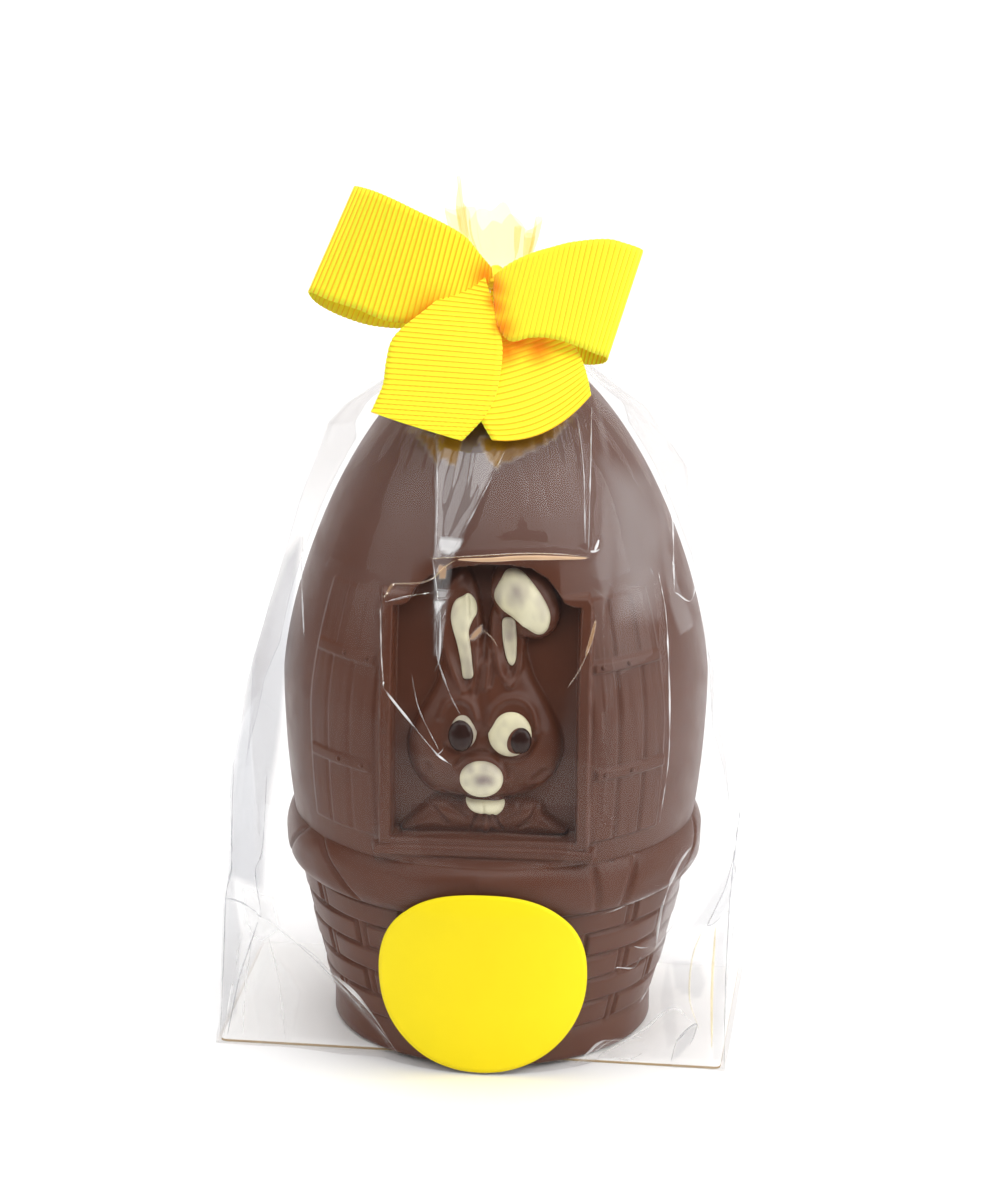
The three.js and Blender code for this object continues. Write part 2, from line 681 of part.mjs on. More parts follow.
// ---- bow: strips of ribbon, each given by its two edges ----
function strip(edgeA, edgeB, steps, arch = 0) {
  const curveA = new THREE.CatmullRomCurve3(edgeA.map((p) => V3(...p)), false, 'centripetal');
  const curveB = new THREE.CatmullRomCurve3(edgeB.map((p) => V3(...p)), false, 'centripetal');
  const across = arch ? 3 : 2;
  const rings = [];
  for (let k = 0; k <= steps; k++) {
    const t = k / steps;
    const a = curveA.getPoint(t);
    const b = curveB.getPoint(t);
    const ahead = curveA.getTangent(t).add(curveB.getTangent(t)).normalize();
    const normal = b.clone().sub(a).normalize().cross(ahead).normalize();
    const ring = [];
    for (const side of [1, -1]) {
      for (let i = 0; i <= across; i++) {
        const share = side > 0 ? i / across : 1 - i / across;
        const lift = arch * 4 * share * (1 - share) * Math.sin(Math.PI * t) + (side * RIBBON.thick) / 2;
        ring.push(a.clone().lerp(b, share).addScaledVector(normal, lift));
      }
    }
    rings.push(ring);
  }
  const made = solid(skin(rings));
  return made.volume() > 0 ? made : solid(skin(rings.reverse()));
}

const KNOT = { x: -1.4, y: -9.2, z: 184.4, rx: 2.6, ry: 3.4, rz: 3.6 };

function knot() {
  const { radius, z, x, y } = NECK;
  const inner = radius + 2 * GAP;
  const outer = inner + 2 * RIBBON.thick;
  const low = z - 2.2;
  const wrap = [V2(inner, low), V2(outer, low), V2(outer, z + 2), V2(inner, z + 2), V2(inner, low)];
  const ring = new THREE.LatheGeometry(wrap, 14);
  ring.rotateX(Math.PI / 2);
  ring.translate(x, y, 0);
  const bulge = ellipsoid(KNOT).intersect(through(oval(KNOT.x, KNOT.z, 9, 9), -20, -5.8));
  return solid(ring).add(bulge);
}

function bow() {
  const loopLeft = strip(
    [[-5, -11.4, 189.4], [-13, -16.5, 200.6], [-23, -18.6, 205.8], [-31, -17.4, 208.3], [-34, -13.4, 207.6],
      [-30.5, -9.2, 205], [-21, -8.2, 199.4], [-12, -9.2, 192.4], [-5.4, -9.6, 187]],
    [[-5, -11.4, 182.6], [-13, -16.5, 178.4], [-24, -19.2, 177.8], [-38, -19.4, 182.6], [-43.8, -16, 184],
      [-40, -11.6, 180.6], [-30, -10.4, 176.2], [-16, -10.6, 177.4], [-5.4, -9.6, 181.6]],
    20);
  const loopRight = strip(
    [[2.4, -11.8, 187.6], [9, -16.6, 193], [18, -18.4, 195.8], [26, -17.6, 196], [32, -14.4, 192.8],
      [30, -10, 189.4], [20, -9.6, 190.6], [10, -10.8, 190], [2.8, -9.8, 186.6]],
    [[2.2, -14.4, 175.6], [7, -20.6, 174.2], [14, -22.6, 174.3], [20, -21.4, 172.6], [25, -18, 168.8],
      [22, -15.8, 167.6], [15, -16.8, 169.8], [8, -16.8, 173.4], [2.8, -13.8, 177]],
    19);
  const tailLeft = strip(
    [[-4.6, -13.4, 184.2], [-17.5, -20.4, 179.6], [-23.6, -22.6, 173.4], [-27, -25.2, 165.4],
      [-29.2, -27, 158.4]],
    [[-1.6, -13.6, 181.2], [-0.6, -19.4, 177], [0.6, -23.6, 171.4], [-3, -27.8, 161.4], [-8.8, -31, 151.9]],
    10, 1.6);
  const tailRight = strip(
    [[0.6, -9.6, 180.6], [-1.4, -12.4, 174.4], [-2.4, -18.6, 168], [-3.6, -24.4, 160.4],
      [-1.2, -30.6, 151.9]],
    [[3.6, -8.6, 181], [11, -9.6, 176.4], [16.6, -12, 171.6], [20, -17.6, 165], [21.4, -24.4, 160.6]],
    10, 0);
  return [
    ['bow_loop_left', loopLeft],
    ['bow_loop_right', loopRight],
    ['bow_tail_left', tailLeft],
    ['bow_tail_right', tailRight],
    ['bow_knot', knot()],
  ];
}

// ---- the whole pack ----
const group = new THREE.Group();

const eggGroup = new THREE.Group();
eggGroup.rotation.z = degToRad(WINDOW_YAW);
eggGroup.add(mesh('egg', geometryOf(egg()), milkChocolate));
inlays().forEach(([name, body, material]) => eggGroup.add(mesh(name, geometryOf(body), material)));
group.add(eggGroup);

group.add(mesh('card', card(), boardMaterial));
group.add(mesh('bag', geometryOf(bag()), filmMaterial));
group.add(mesh('label', label(), labelMaterial));
bow().forEach(([name, body]) => group.add(mesh(name, geometryOf(body), ribbonMaterial)));

export default group;
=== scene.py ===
"""Dresses a moulded chocolate egg in its clear bag: shell, rabbit, film, label, card and ribbon bow.

Sizes in the classes are millimetres; every mesh is in metres. The egg's window faces -Y.
"""

import logging
import math
from collections.abc import Sequence
from dataclasses import dataclass
from enum import Enum

import bmesh
import bpy
import numpy as np
from mathutils import Matrix, Vector


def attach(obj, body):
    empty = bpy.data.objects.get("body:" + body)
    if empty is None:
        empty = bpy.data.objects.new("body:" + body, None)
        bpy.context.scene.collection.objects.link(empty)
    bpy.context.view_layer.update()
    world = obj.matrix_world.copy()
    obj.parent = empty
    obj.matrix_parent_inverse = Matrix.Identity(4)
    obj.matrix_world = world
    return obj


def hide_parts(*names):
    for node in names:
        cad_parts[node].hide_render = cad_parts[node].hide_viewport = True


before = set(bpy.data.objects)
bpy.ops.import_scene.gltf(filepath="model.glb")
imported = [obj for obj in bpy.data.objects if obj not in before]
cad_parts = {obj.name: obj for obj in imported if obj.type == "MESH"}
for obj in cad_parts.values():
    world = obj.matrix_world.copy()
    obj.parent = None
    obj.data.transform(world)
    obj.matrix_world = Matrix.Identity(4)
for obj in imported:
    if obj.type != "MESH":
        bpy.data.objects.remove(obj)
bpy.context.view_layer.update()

log = logging.getLogger("egg")

MM = 0.001
BODY = "root"
Array = np.ndarray
Pair = tuple[float, float]
Polyline = Sequence[Pair]
Colour = tuple[float, float, float]
Place = tuple[float, float, float]
Material = bpy.types.Material
Node = bpy.types.Node
Object = bpy.types.Object
Socket = bpy.types.NodeSocket
MADE: dict[str, Material] = {}
RIB_PITCH = 1.22
WHITE = (1, 1, 1, 1)
FILM_MARKS = ("crease", "gloss", "shade", "warm_reflection", "gold_reflection")


# ---------------------------------------------------------------- numbers and outlines


def smooth(low: float, high: float, value: Array) -> Array:
    """Eases from 0 at low to 1 at high.

    Args:
        low: Where the ramp starts.
        high: Where it ends.
        value: Values to ease.

    Returns:
        The eased values.
    """
    t = np.clip((np.asarray(value, float) - low) / (high - low), 0, 1)
    return t * t * (3 - 2 * t)


def lerp(a: Array | float, b: Array | float, t: Array | float) -> Array:
    """Mixes a and b by t."""
    return a + (b - a) * t


def soft_max(a: Array, b: Array, blend: float) -> Array:
    """The larger of two heights, with the crease between them rounded.

    Args:
        a: First heights.
        b: Second heights.
        blend: Width of the rounding.

    Returns:
        The joined heights.
    """
    h = np.clip(0.5 + 0.5 * (a - b) / blend, 0, 1)
    return lerp(b, a, h) + blend * h * (1 - h)


def ripple(seed: int, scale: float, *where: Array) -> Array:
    """Soft unevenness from a few slanted waves, between about -1 and 1.

    Args:
        seed: Picks the waves.
        scale: Wavelength of the coarsest wave.
        *where: Coordinates, one array for each direction.

    Returns:
        The unevenness at each place.
    """
    rng = np.random.default_rng(seed)
    total = np.zeros(np.broadcast(*where).shape)
    for _ in range(5):
        turn = rng.normal(size=len(where))
        turn /= np.linalg.norm(turn)
        length = scale * rng.uniform(0.45, 1.0)
        phase = sum(t * w for t, w in zip(turn, where)) * 2 * math.pi / length
        total += np.sin(phase + rng.uniform(0, 6.28) + 0.8 * total) / 3
    return total


def ridged(seed: int, scale: float, *where: Array) -> Array:
    """Unevenness with sharp crests, as in crumpled film, between about -1 and 1."""
    return 1 - 2 * np.minimum(np.abs(ripple(seed, scale, *where)) * 1.6, 1)


def fold_wave(turns: Array) -> Array:
    """A sharp-crested wave between 0 and 1, once for each turn."""
    return (1 - np.abs(2 * np.mod(turns, 1) - 1)) ** 1.6


def from_line(x: Array, z: Array, line: Polyline) -> Array:
    """Distance from each place to a run of straight pieces.

    Args:
        x: Places across.
        z: Places up.
        line: Corners of the run.

    Returns:
        The distances.
    """
    best = np.full(x.shape, 1e9)
    for (ax, az), (bx, bz) in zip(line[:-1], line[1:]):
        dx, dz = bx - ax, bz - az
        t = np.clip(((x - ax) * dx + (z - az) * dz) / (dx * dx + dz * dz + 1e-12), 0, 1)
        best = np.minimum(best, np.hypot(x - ax - t * dx, z - az - t * dz))
    return best


def inside(x: Array, z: Array, outline: Polyline) -> Array:
    """Says which places lie inside a closed outline.

    Args:
        x: Places across.
        z: Places up.
        outline: Corners, without repeating the first.

    Returns:
        True where a place is inside.
    """
    hit = np.zeros(x.shape, bool)
    for (ax, az), (bx, bz) in zip(outline, [*outline[1:], outline[0]]):
        crosses = (az > z) != (bz > z)
        with np.errstate(divide="ignore", invalid="ignore"):
            hit ^= crosses & (x < (bx - ax) * (z - az) / (bz - az) + ax)
    return hit


def outside_by(x: Array, z: Array, outline: Polyline) -> Array:
    """How far outside a closed outline each place is; negative inside."""
    distance = from_line(x, z, [*outline, outline[0]])
    return np.where(inside(x, z, outline), -distance, distance)


def spline(points: Sequence[Sequence[float]], count: int | Array, closed: bool = False) -> Array:
    """A smooth curve through points.

    Args:
        points: Points to pass through.
        count: How many evenly stepped places to return, or the wanted places as shares from 0 to 1.
        closed: True if the curve runs back to its first point.

    Returns:
        The places on the curve.
    """
    p = np.asarray(points, float)
    n = len(p)
    if closed:
        p = np.vstack([p[-1], p, p[0], p[1]])
        t = np.arange(count) / count * n
    else:
        p = np.vstack([2 * p[0] - p[1], p, 2 * p[-1] - p[-2]])
        t = (np.linspace(0, 1, count) if isinstance(count, int) else count) * (n - 1)
    i = np.clip(t.astype(int), 0, len(p) - 4)
    u = (t - i)[..., None]
    a, b, c, d = p[i], p[i + 1], p[i + 2], p[i + 3]
    return 0.5 * (2 * b + (c - a) * u + (2 * a - 5 * b + 4 * c - d) * u**2 + (3 * b - a - 3 * c + d) * u**3)


# ---------------------------------------------------------------- meshes


def link(name: str, data: bpy.types.ID) -> Object:
    """Adds an object to the scene.

    Args:
        name: Object name.
        data: Its mesh, lamp or camera.

    Returns:
        The object.
    """
    made = bpy.data.objects.new(name, data)
    bpy.context.scene.collection.objects.link(made)
    return made


def settle(obj: Object, modifier: bpy.types.Modifier) -> None:
    """Leaves a plain mesh of what a modifier makes of an object's mesh.

    Args:
        obj: Mesh object.
        modifier: Its only modifier, which is removed.
    """
    depsgraph = bpy.context.evaluated_depsgraph_get()
    plain = bpy.data.meshes.new_from_object(obj.evaluated_get(depsgraph))
    obj.modifiers.remove(modifier)
    old = obj.data
    obj.data = plain
    bpy.data.meshes.remove(old)


def to_object(name: str, points: Array, faces: Sequence[Sequence[int]]) -> Object:
    """A smooth-shaded object from points in millimetres.

    Args:
        name: Object name.
        points: Array of points.
        faces: Corner indices of each face.

    Returns:
        The object, at the origin.
    """
    mesh = bpy.data.meshes.new(name)
    mesh.from_pydata((np.asarray(points) * MM).tolist(), [], faces)
    mesh.update()
    mesh.polygons.foreach_set("use_smooth", np.ones(len(mesh.polygons), bool))
    return link(name, mesh)


def quads(rows: int, columns: int, ring_rows: bool = False, ring_columns: bool = True) -> list[list[int]]:
    """Faces between the points of a grid, row by row.

    Args:
        rows: Number of rows.
        columns: Number of points in a row.
        ring_rows: True if the last row joins the first.
        ring_columns: True if the last point of a row joins its first.

    Returns:
        The faces' corner indices.
    """
    r, c = np.indices((rows - (not ring_rows), columns - (not ring_columns)))
    up, on = (r + 1) % rows * columns, (c + 1) % columns
    return np.stack([r * columns + c, r * columns + on, up + on, up + c], -1).reshape(-1, 4).tolist()


def tube(name: str, rings: Array, close_high: bool = True) -> Object:
    """A body from rings of points, each anticlockwise seen from above, closed at the first ring.

    Args:
        name: Object name.
        rings: Points as rows, columns, xyz.
        close_high: True to close the last ring too.

    Returns:
        The object.
    """
    rows, columns = rings.shape[:2]
    hub, top = rows * columns, (rows - 1) * columns
    points = [rings.reshape(-1, 3), rings[0].mean(0)[None]]
    faces = quads(rows, columns) + [[hub, (k + 1) % columns, k] for k in range(columns)]
    if close_high:
        points.append(rings[-1].mean(0)[None])
        faces += [[hub + 1, top + k, top + (k + 1) % columns] for k in range(columns)]
    return to_object(name, np.vstack(points), faces)


def set_numbers(obj: Object, name: str, values: Array) -> None:
    """Stores a number or a vector at each point of a mesh.

    Args:
        obj: Mesh object.
        name: Attribute name.
        values: One number, or one xyz, for each point.
    """
    vector = values.ndim == 2
    kind = "FLOAT_VECTOR" if vector else "FLOAT"
    attribute = obj.data.attributes.new(name, kind, "POINT")
    attribute.data.foreach_set("vector" if vector else "value", values.astype(np.float32).ravel())


def turned(points: Array, degrees: float) -> Array:
    """Turns points about the upright axis.

    Args:
        points: The points.
        degrees: How far, anticlockwise seen from above.

    Returns:
        The turned points.
    """
    cos, sin = math.cos(math.radians(degrees)), math.sin(math.radians(degrees))
    x, y, z = np.moveaxis(points, -1, 0)
    return np.stack([x * cos - y * sin, x * sin + y * cos, z], -1)


# ---------------------------------------------------------------- finishes


class NodeTree:
    """Any node tree, with short ways to add and join nodes."""

    def __init__(self, tree: bpy.types.NodeTree) -> None:
        """Takes over a tree."""
        self.tree = tree

    def add(self, kind: str, inputs: dict | None = None, **settings: object) -> Node:
        """Adds a node.

        Args:
            kind: Blender's node type.
            inputs: Values, or sockets to join, by input name or number.
            **settings: The node's own settings.

        Returns:
            The node.
        """
        node = self.tree.nodes.new(kind)
        for key, value in settings.items():
            setattr(node, key, value)
        for key, value in (inputs or {}).items():
            if isinstance(value, Socket):
                self.tree.links.new(value, node.inputs[key])
            else:
                node.inputs[key].default_value = value
        return node

    def math(self, operation: str, *values: Socket | float) -> Socket:
        """Adds a Math node and returns its result."""
        return self.add("ShaderNodeMath", dict(enumerate(values)), operation=operation).outputs[0]


class Shader(NodeTree):
    """A material's node tree."""

    def __init__(self, name: str) -> None:
        """Starts an empty material.

        Args:
            name: Material name.
        """
        self.material = bpy.data.materials.new(name)
        self.material.use_nodes = True
        super().__init__(self.material.node_tree)
        self.tree.nodes.clear()

    def mark(self, name: str) -> Socket:
        """A number stored at each point of the mesh."""
        return self.add("ShaderNodeAttribute", attribute_name=name).outputs["Fac"]

    def noise(self, scale: float, detail: float = 3.0) -> Socket:
        """Noise over the piece's own coordinates.

        Args:
            scale: How fine it is.
            detail: How many finer layers it has.

        Returns:
            The noise.
        """
        place = self.add("ShaderNodeTexCoord").outputs["Object"]
        inputs = {"Vector": place, "Scale": scale, "Detail": detail}
        return self.add("ShaderNodeTexNoise", inputs).outputs["Fac"]

    def ramp(self, value: Socket, low: float, high: float, start: float = 0.3, end: float = 0.7) -> Socket:
        """Maps a value from start..end to low..high."""
        return self.add("ShaderNodeMapRange", {0: value, 1: start, 2: end, 3: low, 4: high}).outputs[0]

    def mix(self, share: Socket, a: Colour | Socket, b: Colour | Socket) -> Socket:
        """Mixes two colours, each a value or a socket."""
        a, b = (c if isinstance(c, Socket) else (*c, 1) for c in (a, b))
        return self.add("ShaderNodeMix", {0: share, 6: a, 7: b}, data_type="RGBA").outputs[2]

    def bump(self, height: Socket, strength: float, distance: float) -> Socket:
        """A bumped normal."""
        inputs = {"Height": height, "Strength": strength, "Distance": distance}
        return self.add("ShaderNodeBump", inputs).outputs[0]

    def finish(self, shader: Node) -> Material:
        """Joins a shader to the output and returns the material."""
        self.add("ShaderNodeOutputMaterial", {"Surface": shader.outputs[0]})
        return self.material


@dataclass(frozen=True)
class ChocolateFinish:
    """Tempered chocolate: satin skin, faint bloom and mould marks."""

    name: str
    deep: Colour
    pale: Colour
    roughness: Pair
    grain: float = 0.00001
    cloud: float = 55.0
    shine: float = 0.25
    under: Colour | None = None

    def build(self) -> Material:
        """Makes the material.

        Returns:
            The material; the thin attribute says where the chocolate under it shows through.
        """
        n = Shader(self.name)
        cloud = n.noise(self.cloud, 4)
        marks = n.noise(160, 3)
        colour = n.mix(n.ramp(cloud, 0, 1), self.deep, self.pale)
        if self.under:
            colour = n.mix(n.mark("thin"), colour, self.under)
        shader = n.add(
            "ShaderNodeBsdfPrincipled",
            {
                "Base Color": colour,
                "Roughness": n.ramp(marks, *self.roughness),
                "Normal": n.bump(marks, 0.12, self.grain),
                "Specular IOR Level": self.shine,
            },
        )
        return n.finish(shader)


@dataclass(frozen=True)
class FilmFinish:
    """Clear polypropylene film: glossy, with painted grey shade where it is folded over itself and painted
    white highlights along hard creases.
    """

    name: str = "clear_film"
    tint: Colour = (0.975, 0.97, 0.968)
    edge: Colour = (0.84, 0.845, 0.86)
    # grey of the painted shade on film folded over itself and along creases
    folded: Colour = (0.58, 0.585, 0.61)
    gloss_roughness: float = 0.035
    # colour of the painted highlights and painted milky haze
    highlight_colour: Colour = (0.80, 0.795, 0.80)
    # yellow of the painted reflection of the ribbon
    ribbon_reflection_tint: Colour = (1.0, 0.93, 0.55)
    # tan of painted highlights that stand for the chocolate's reflection
    tan: Colour = (0.82, 0.52, 0.30)
    # colour of the painted reflection of the tails' ribs
    mirrored: Colour = (0.36, 0.18, 0.004)
    inner_gloss: float = 0.35
    shadow: tuple[float, float, float, float] = (0.97, 0.97, 0.97, 1)

    def build(self) -> Material:
        """Makes the material.

        The mesh's marks, in the order of FILM_MARKS, say where painted highlights and painted haze lie, how
        strongly it reflects, where painted grey shade lies on film folded over itself, where painted
        reflections of the ribbon's yellow and of the chocolate's tan tint it, and where a painted reflection
        of the tails' ribs lies.

        Returns:
            The material.
        """
        n = Shader(self.name)
        marks = {k: n.mark(k) for k in FILM_MARKS}
        waves = n.bump(n.noise(110, 3), 0.3, 0.0002)
        facing = n.add("ShaderNodeLayerWeight", {"Blend": 0.32}).outputs["Facing"]
        colour = n.mix(n.ramp(facing, 0, 1, 0.6, 1.0), self.tint, self.edge)
        # painted grey shade and painted yellow reflection of the ribbon tint what shows through the film
        for mark, tone in (("shade", self.folded), ("warm_reflection", self.ribbon_reflection_tint)):
            colour = n.mix(marks[mark], colour, tone)
        clear = n.add("ShaderNodeBsdfTransparent", {"Color": colour})
        gloss = {"Color": WHITE, "Roughness": self.gloss_roughness, "Normal": waves}
        shine = n.add("ShaderNodeBsdfGlossy", gloss)
        fresnel = n.add("ShaderNodeFresnel", {"IOR": 1.6, "Normal": waves}).outputs[0]
        inner = n.ramp(n.add("ShaderNodeNewGeometry").outputs["Backfacing"], 1.0, self.inner_gloss, 0.0, 1.0)
        amount = n.math("MULTIPLY", fresnel, n.math("MULTIPLY", inner, marks["gloss"]))
        film = n.add("ShaderNodeMixShader", {0: amount, 1: clear.outputs[0], 2: shine.outputs[0]})
        # painted highlights: white, tan where they stand for the chocolate's reflection, gold where they
        # stand for the tails' ribs
        highlight_tone = n.mix(marks["gold_reflection"], n.mix(marks["warm_reflection"], self.highlight_colour, self.tan), self.mirrored)
        white = n.add("ShaderNodeBsdfPrincipled", {"Base Color": highlight_tone, "Roughness": 0.3})
        seen = n.add("ShaderNodeMixShader", {0: marks["crease"], 1: film.outputs[0], 2: white.outputs[0]})
        lamp = n.add("ShaderNodeLightPath").outputs["Is Shadow Ray"]
        passed = n.add("ShaderNodeBsdfTransparent", {"Color": self.shadow})
        return n.finish(n.add("ShaderNodeMixShader", {0: lamp, 1: seen.outputs[0], 2: passed.outputs[0]}))


@dataclass(frozen=True)
class RibbonFinish:
    """Grosgrain: bright matt ribs, with painted orange shade between them and in its folds."""

    name: str = "yellow_ribbon"
    # lit colour of the ribs, and the painted shade colour between them
    bright: Colour = (1.0, 0.95, 0.036)
    deep: Colour = (1.0, 0.43, 0.002)
    # orange of the painted shade in the folds
    tuck_shade_colour: Colour = (1.0, 0.30, 0.003)

    def build(self) -> Material:
        """Makes the material.

        The along attribute counts the ribs; another attribute says where painted orange shade lies in the
        folds.

        Returns:
            The material.
        """
        n = Shader(self.name)
        turns = n.math("MULTIPLY", n.mark("along"), math.pi / (RIB_PITCH * MM))
        rib = n.math("ABSOLUTE", n.math("SINE", turns))
        # painted shade: the colour darkens to orange towards the valleys between the ribs
        flat = n.mix(n.ramp(rib, 0, 1, 0.0, 0.5), self.deep, self.bright)
        shader = n.add(
            "ShaderNodeBsdfPrincipled",
            {
                "Base Color": n.mix(n.mark("tuck_shade"), flat, self.tuck_shade_colour),
                "Roughness": 0.75,
                "Specular IOR Level": 0.2,
                "Sheen Weight": 0.15,
                "Sheen Roughness": 0.5,
                "Normal": n.bump(n.noise(2600, 2), 0.4, 0.00006),
            },
        )
        return n.finish(shader)


@dataclass(frozen=True)
class PaperFinish:
    """Paper or board with a fine tooth."""

    name: str
    colour: Colour
    shade: Colour
    roughness: float
    cut: Colour | None = None
    tooth: float = 0.00003

    def build(self) -> Material:
        """Makes the material.

        Returns:
            The material, with its cut edges in their own colour where it has one.
        """
        n = Shader(self.name)
        fibres = n.noise(1500, 4)
        colour = n.mix(n.ramp(n.noise(70, 3), 0, 1), self.colour, self.shade)
        if self.cut:
            axes = n.add("ShaderNodeSeparateXYZ", {0: n.add("ShaderNodeNewGeometry").outputs["True Normal"]})
            upright = n.math("ABSOLUTE", axes.outputs[2])
            colour = n.mix(n.ramp(upright, 1, 0, 0.3, 0.8), colour, self.cut)
        shader = n.add(
            "ShaderNodeBsdfPrincipled",
            {
                "Base Color": colour,
                "Roughness": self.roughness,
                "Specular IOR Level": 0.2,
                "Normal": n.bump(fibres, 0.3, self.tooth),
            },
        )
        return n.finish(shader)


class Finish(Enum):
    """The finishes on the pack, one for each material slot of the record."""

    MILK = ChocolateFinish("milk_chocolate", (0.088, 0.0275, 0.0135), (0.100, 0.034, 0.018), (0.28, 0.4))
    WHITE = ChocolateFinish(
        "white_chocolate", (0.69, 0.64, 0.42), (0.75, 0.71, 0.52), (0.3, 0.42), under=(0.26, 0.21, 0.20)
    )
    DARK = ChocolateFinish("dark_chocolate", (0.022, 0.009, 0.007), (0.03, 0.012, 0.009), (0.12, 0.2))
    CARD = PaperFinish("white_card", (0.95, 0.945, 0.93), (0.93, 0.925, 0.91), 0.6, (0.42, 0.30, 0.17))
    LABEL = PaperFinish("yellow_label", (0.90, 0.72, 0.004), (0.88, 0.70, 0.0035), 0.6)
    FILM = FilmFinish()
    RIBBON = RibbonFinish()

    @property
    def slot(self) -> str:
        """Name of the record's material slot."""
        return self.value.name

    def material(self) -> Material:
        """The finish's material, made once.

        Returns:
            The material.
        """
        if self.slot not in MADE:
            MADE[self.slot] = self.value.build()
        return MADE[self.slot]


def dress(obj: Object, finish: Finish, *nodes: str) -> Object:
    """Gives a piece its finish, body and the CAD nodes it stands for.

    Args:
        obj: The piece.
        finish: Its finish.
        *nodes: CAD nodes that it replaces.

    Returns:
        The piece.
    """
    obj.data.materials.clear()
    obj.data.materials.append(finish.material())
    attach(obj, BODY)
    if nodes:
        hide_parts(*nodes)
    log.info("%s: %d points", obj.name, len(obj.data.vertices))
    return obj


# ---------------------------------------------------------------- the egg


@dataclass(frozen=True)
class EggProfile:
    """The egg's outline from its foot to its tip."""

    belly_radius: float = 50.5
    belly_height: float = 88.0
    top: float = 169.4
    tuck_shade: float = 106.0
    foot_radius: float = 38.2
    foot_top: float = 9.4
    base: float = 1.1
    basket_top: float = 41.6
    basket_radii: Pair = (38.9, 46.7)
    rim_height: float = 48.2
    rim_half: float = 6.6
    rim_radius: float = 49.9
    rim_seat: float = 46.4
    yaw: float = -4.0

    def shell(self, z: Array) -> Array:
        """Radius of the smooth shell.

        Args:
            z: Heights.

        Returns:
            The radii.
        """
        z = np.asarray(z, float)
        up = np.clip((z - self.belly_height) / (self.top - self.belly_height), 0, 1)
        down = np.clip((self.belly_height - z) / self.tuck_shade, 0, 0.98)
        upper = self.belly_radius * (1 - up**1.5) ** 0.546
        return np.where(z >= self.belly_height, upper, self.belly_radius * np.sqrt(1 - down**2))

    def basket(self, z: Array) -> Array:
        """Radius of the basket below the rim."""
        up = np.clip((np.asarray(z, float) - self.foot_top) / (self.basket_top - self.foot_top), 0, 1)
        return lerp(*self.basket_radii, up**0.9)

    def rim(self, z: Array) -> Array:
        """Radius of the round rim, or its seat above and below."""
        part = np.clip((np.asarray(z, float) - self.rim_height) / self.rim_half, -1, 1)
        return lerp(self.rim_seat, self.rim_radius, np.sqrt(1 - part**2) ** 0.8)

    def outer(self, z: Array) -> Array:
        """Widest radius at each height.

        Args:
            z: Heights.

        Returns:
            The radii.
        """
        z = np.asarray(z, float)
        rim = np.where(np.abs(z - self.rim_height) < self.rim_half, self.rim(z), 0)
        low = np.where(z < self.foot_top, self.foot_radius + 0.5, self.basket(z))
        return np.maximum(np.where(z < self.basket_top, low, self.shell(z)), rim)


PROFILE = EggProfile()


@dataclass(frozen=True)
class Lump:
    """A rounded form in the relief: an ellipsoid given across, up and outwards from the recess."""

    x: float
    z: float
    wide: float
    high: float
    deep: float
    tilt: float = 0.0
    out: float = 0.0

    def height(self, x: Array, z: Array) -> Array:
        """How far the lump stands out of the recess; far below it where the lump isn't.

        Args:
            x: Places across.
            z: Places up.

        Returns:
            Heights above the recess floor.
        """
        a = math.radians(self.tilt)
        dx, dz = x - self.x, z - self.z
        u = (dx * math.cos(a) - dz * math.sin(a)) / self.wide
        v = (dx * math.sin(a) + dz * math.cos(a)) / self.high
        rest = 1 - u * u - v * v
        return np.where(rest > 0, self.out + self.deep * np.sqrt(np.maximum(rest, 0)), -3 + 2 * rest)


@dataclass(frozen=True)
class Pillow:
    """A swelling form in the relief with a free outline and a rounded edge."""

    outline: Polyline
    edge: float
    deep: float

    def height(self, x: Array, z: Array) -> Array:
        """How far the form stands out of the recess; below it outside the outline.

        Args:
            x: Places across.
            z: Places up.

        Returns:
            Heights above the recess floor.
        """
        curve = [tuple(p) for p in spline(self.outline, 5 * len(self.outline), closed=True)]
        share = -outside_by(x, z, curve) / self.edge
        rise = self.deep * np.sqrt(np.maximum(1 - (1 - np.clip(share, 0, 1)) ** 2, 0))
        return np.where(share > 0, rise, 2.5 * share)


@dataclass(frozen=True)
class Stroke:
    """A ridge or a groove along a line in the relief."""

    line: Polyline
    wide: float
    high: float

    def height(self, x: Array, z: Array) -> Array:
        """Height added at each place."""
        curve = [tuple(p) for p in spline(self.line, 6 * len(self.line))] if len(self.line) > 2 else self.line
        return self.high * np.exp(-((from_line(x, z, curve) / self.wide) ** 2))


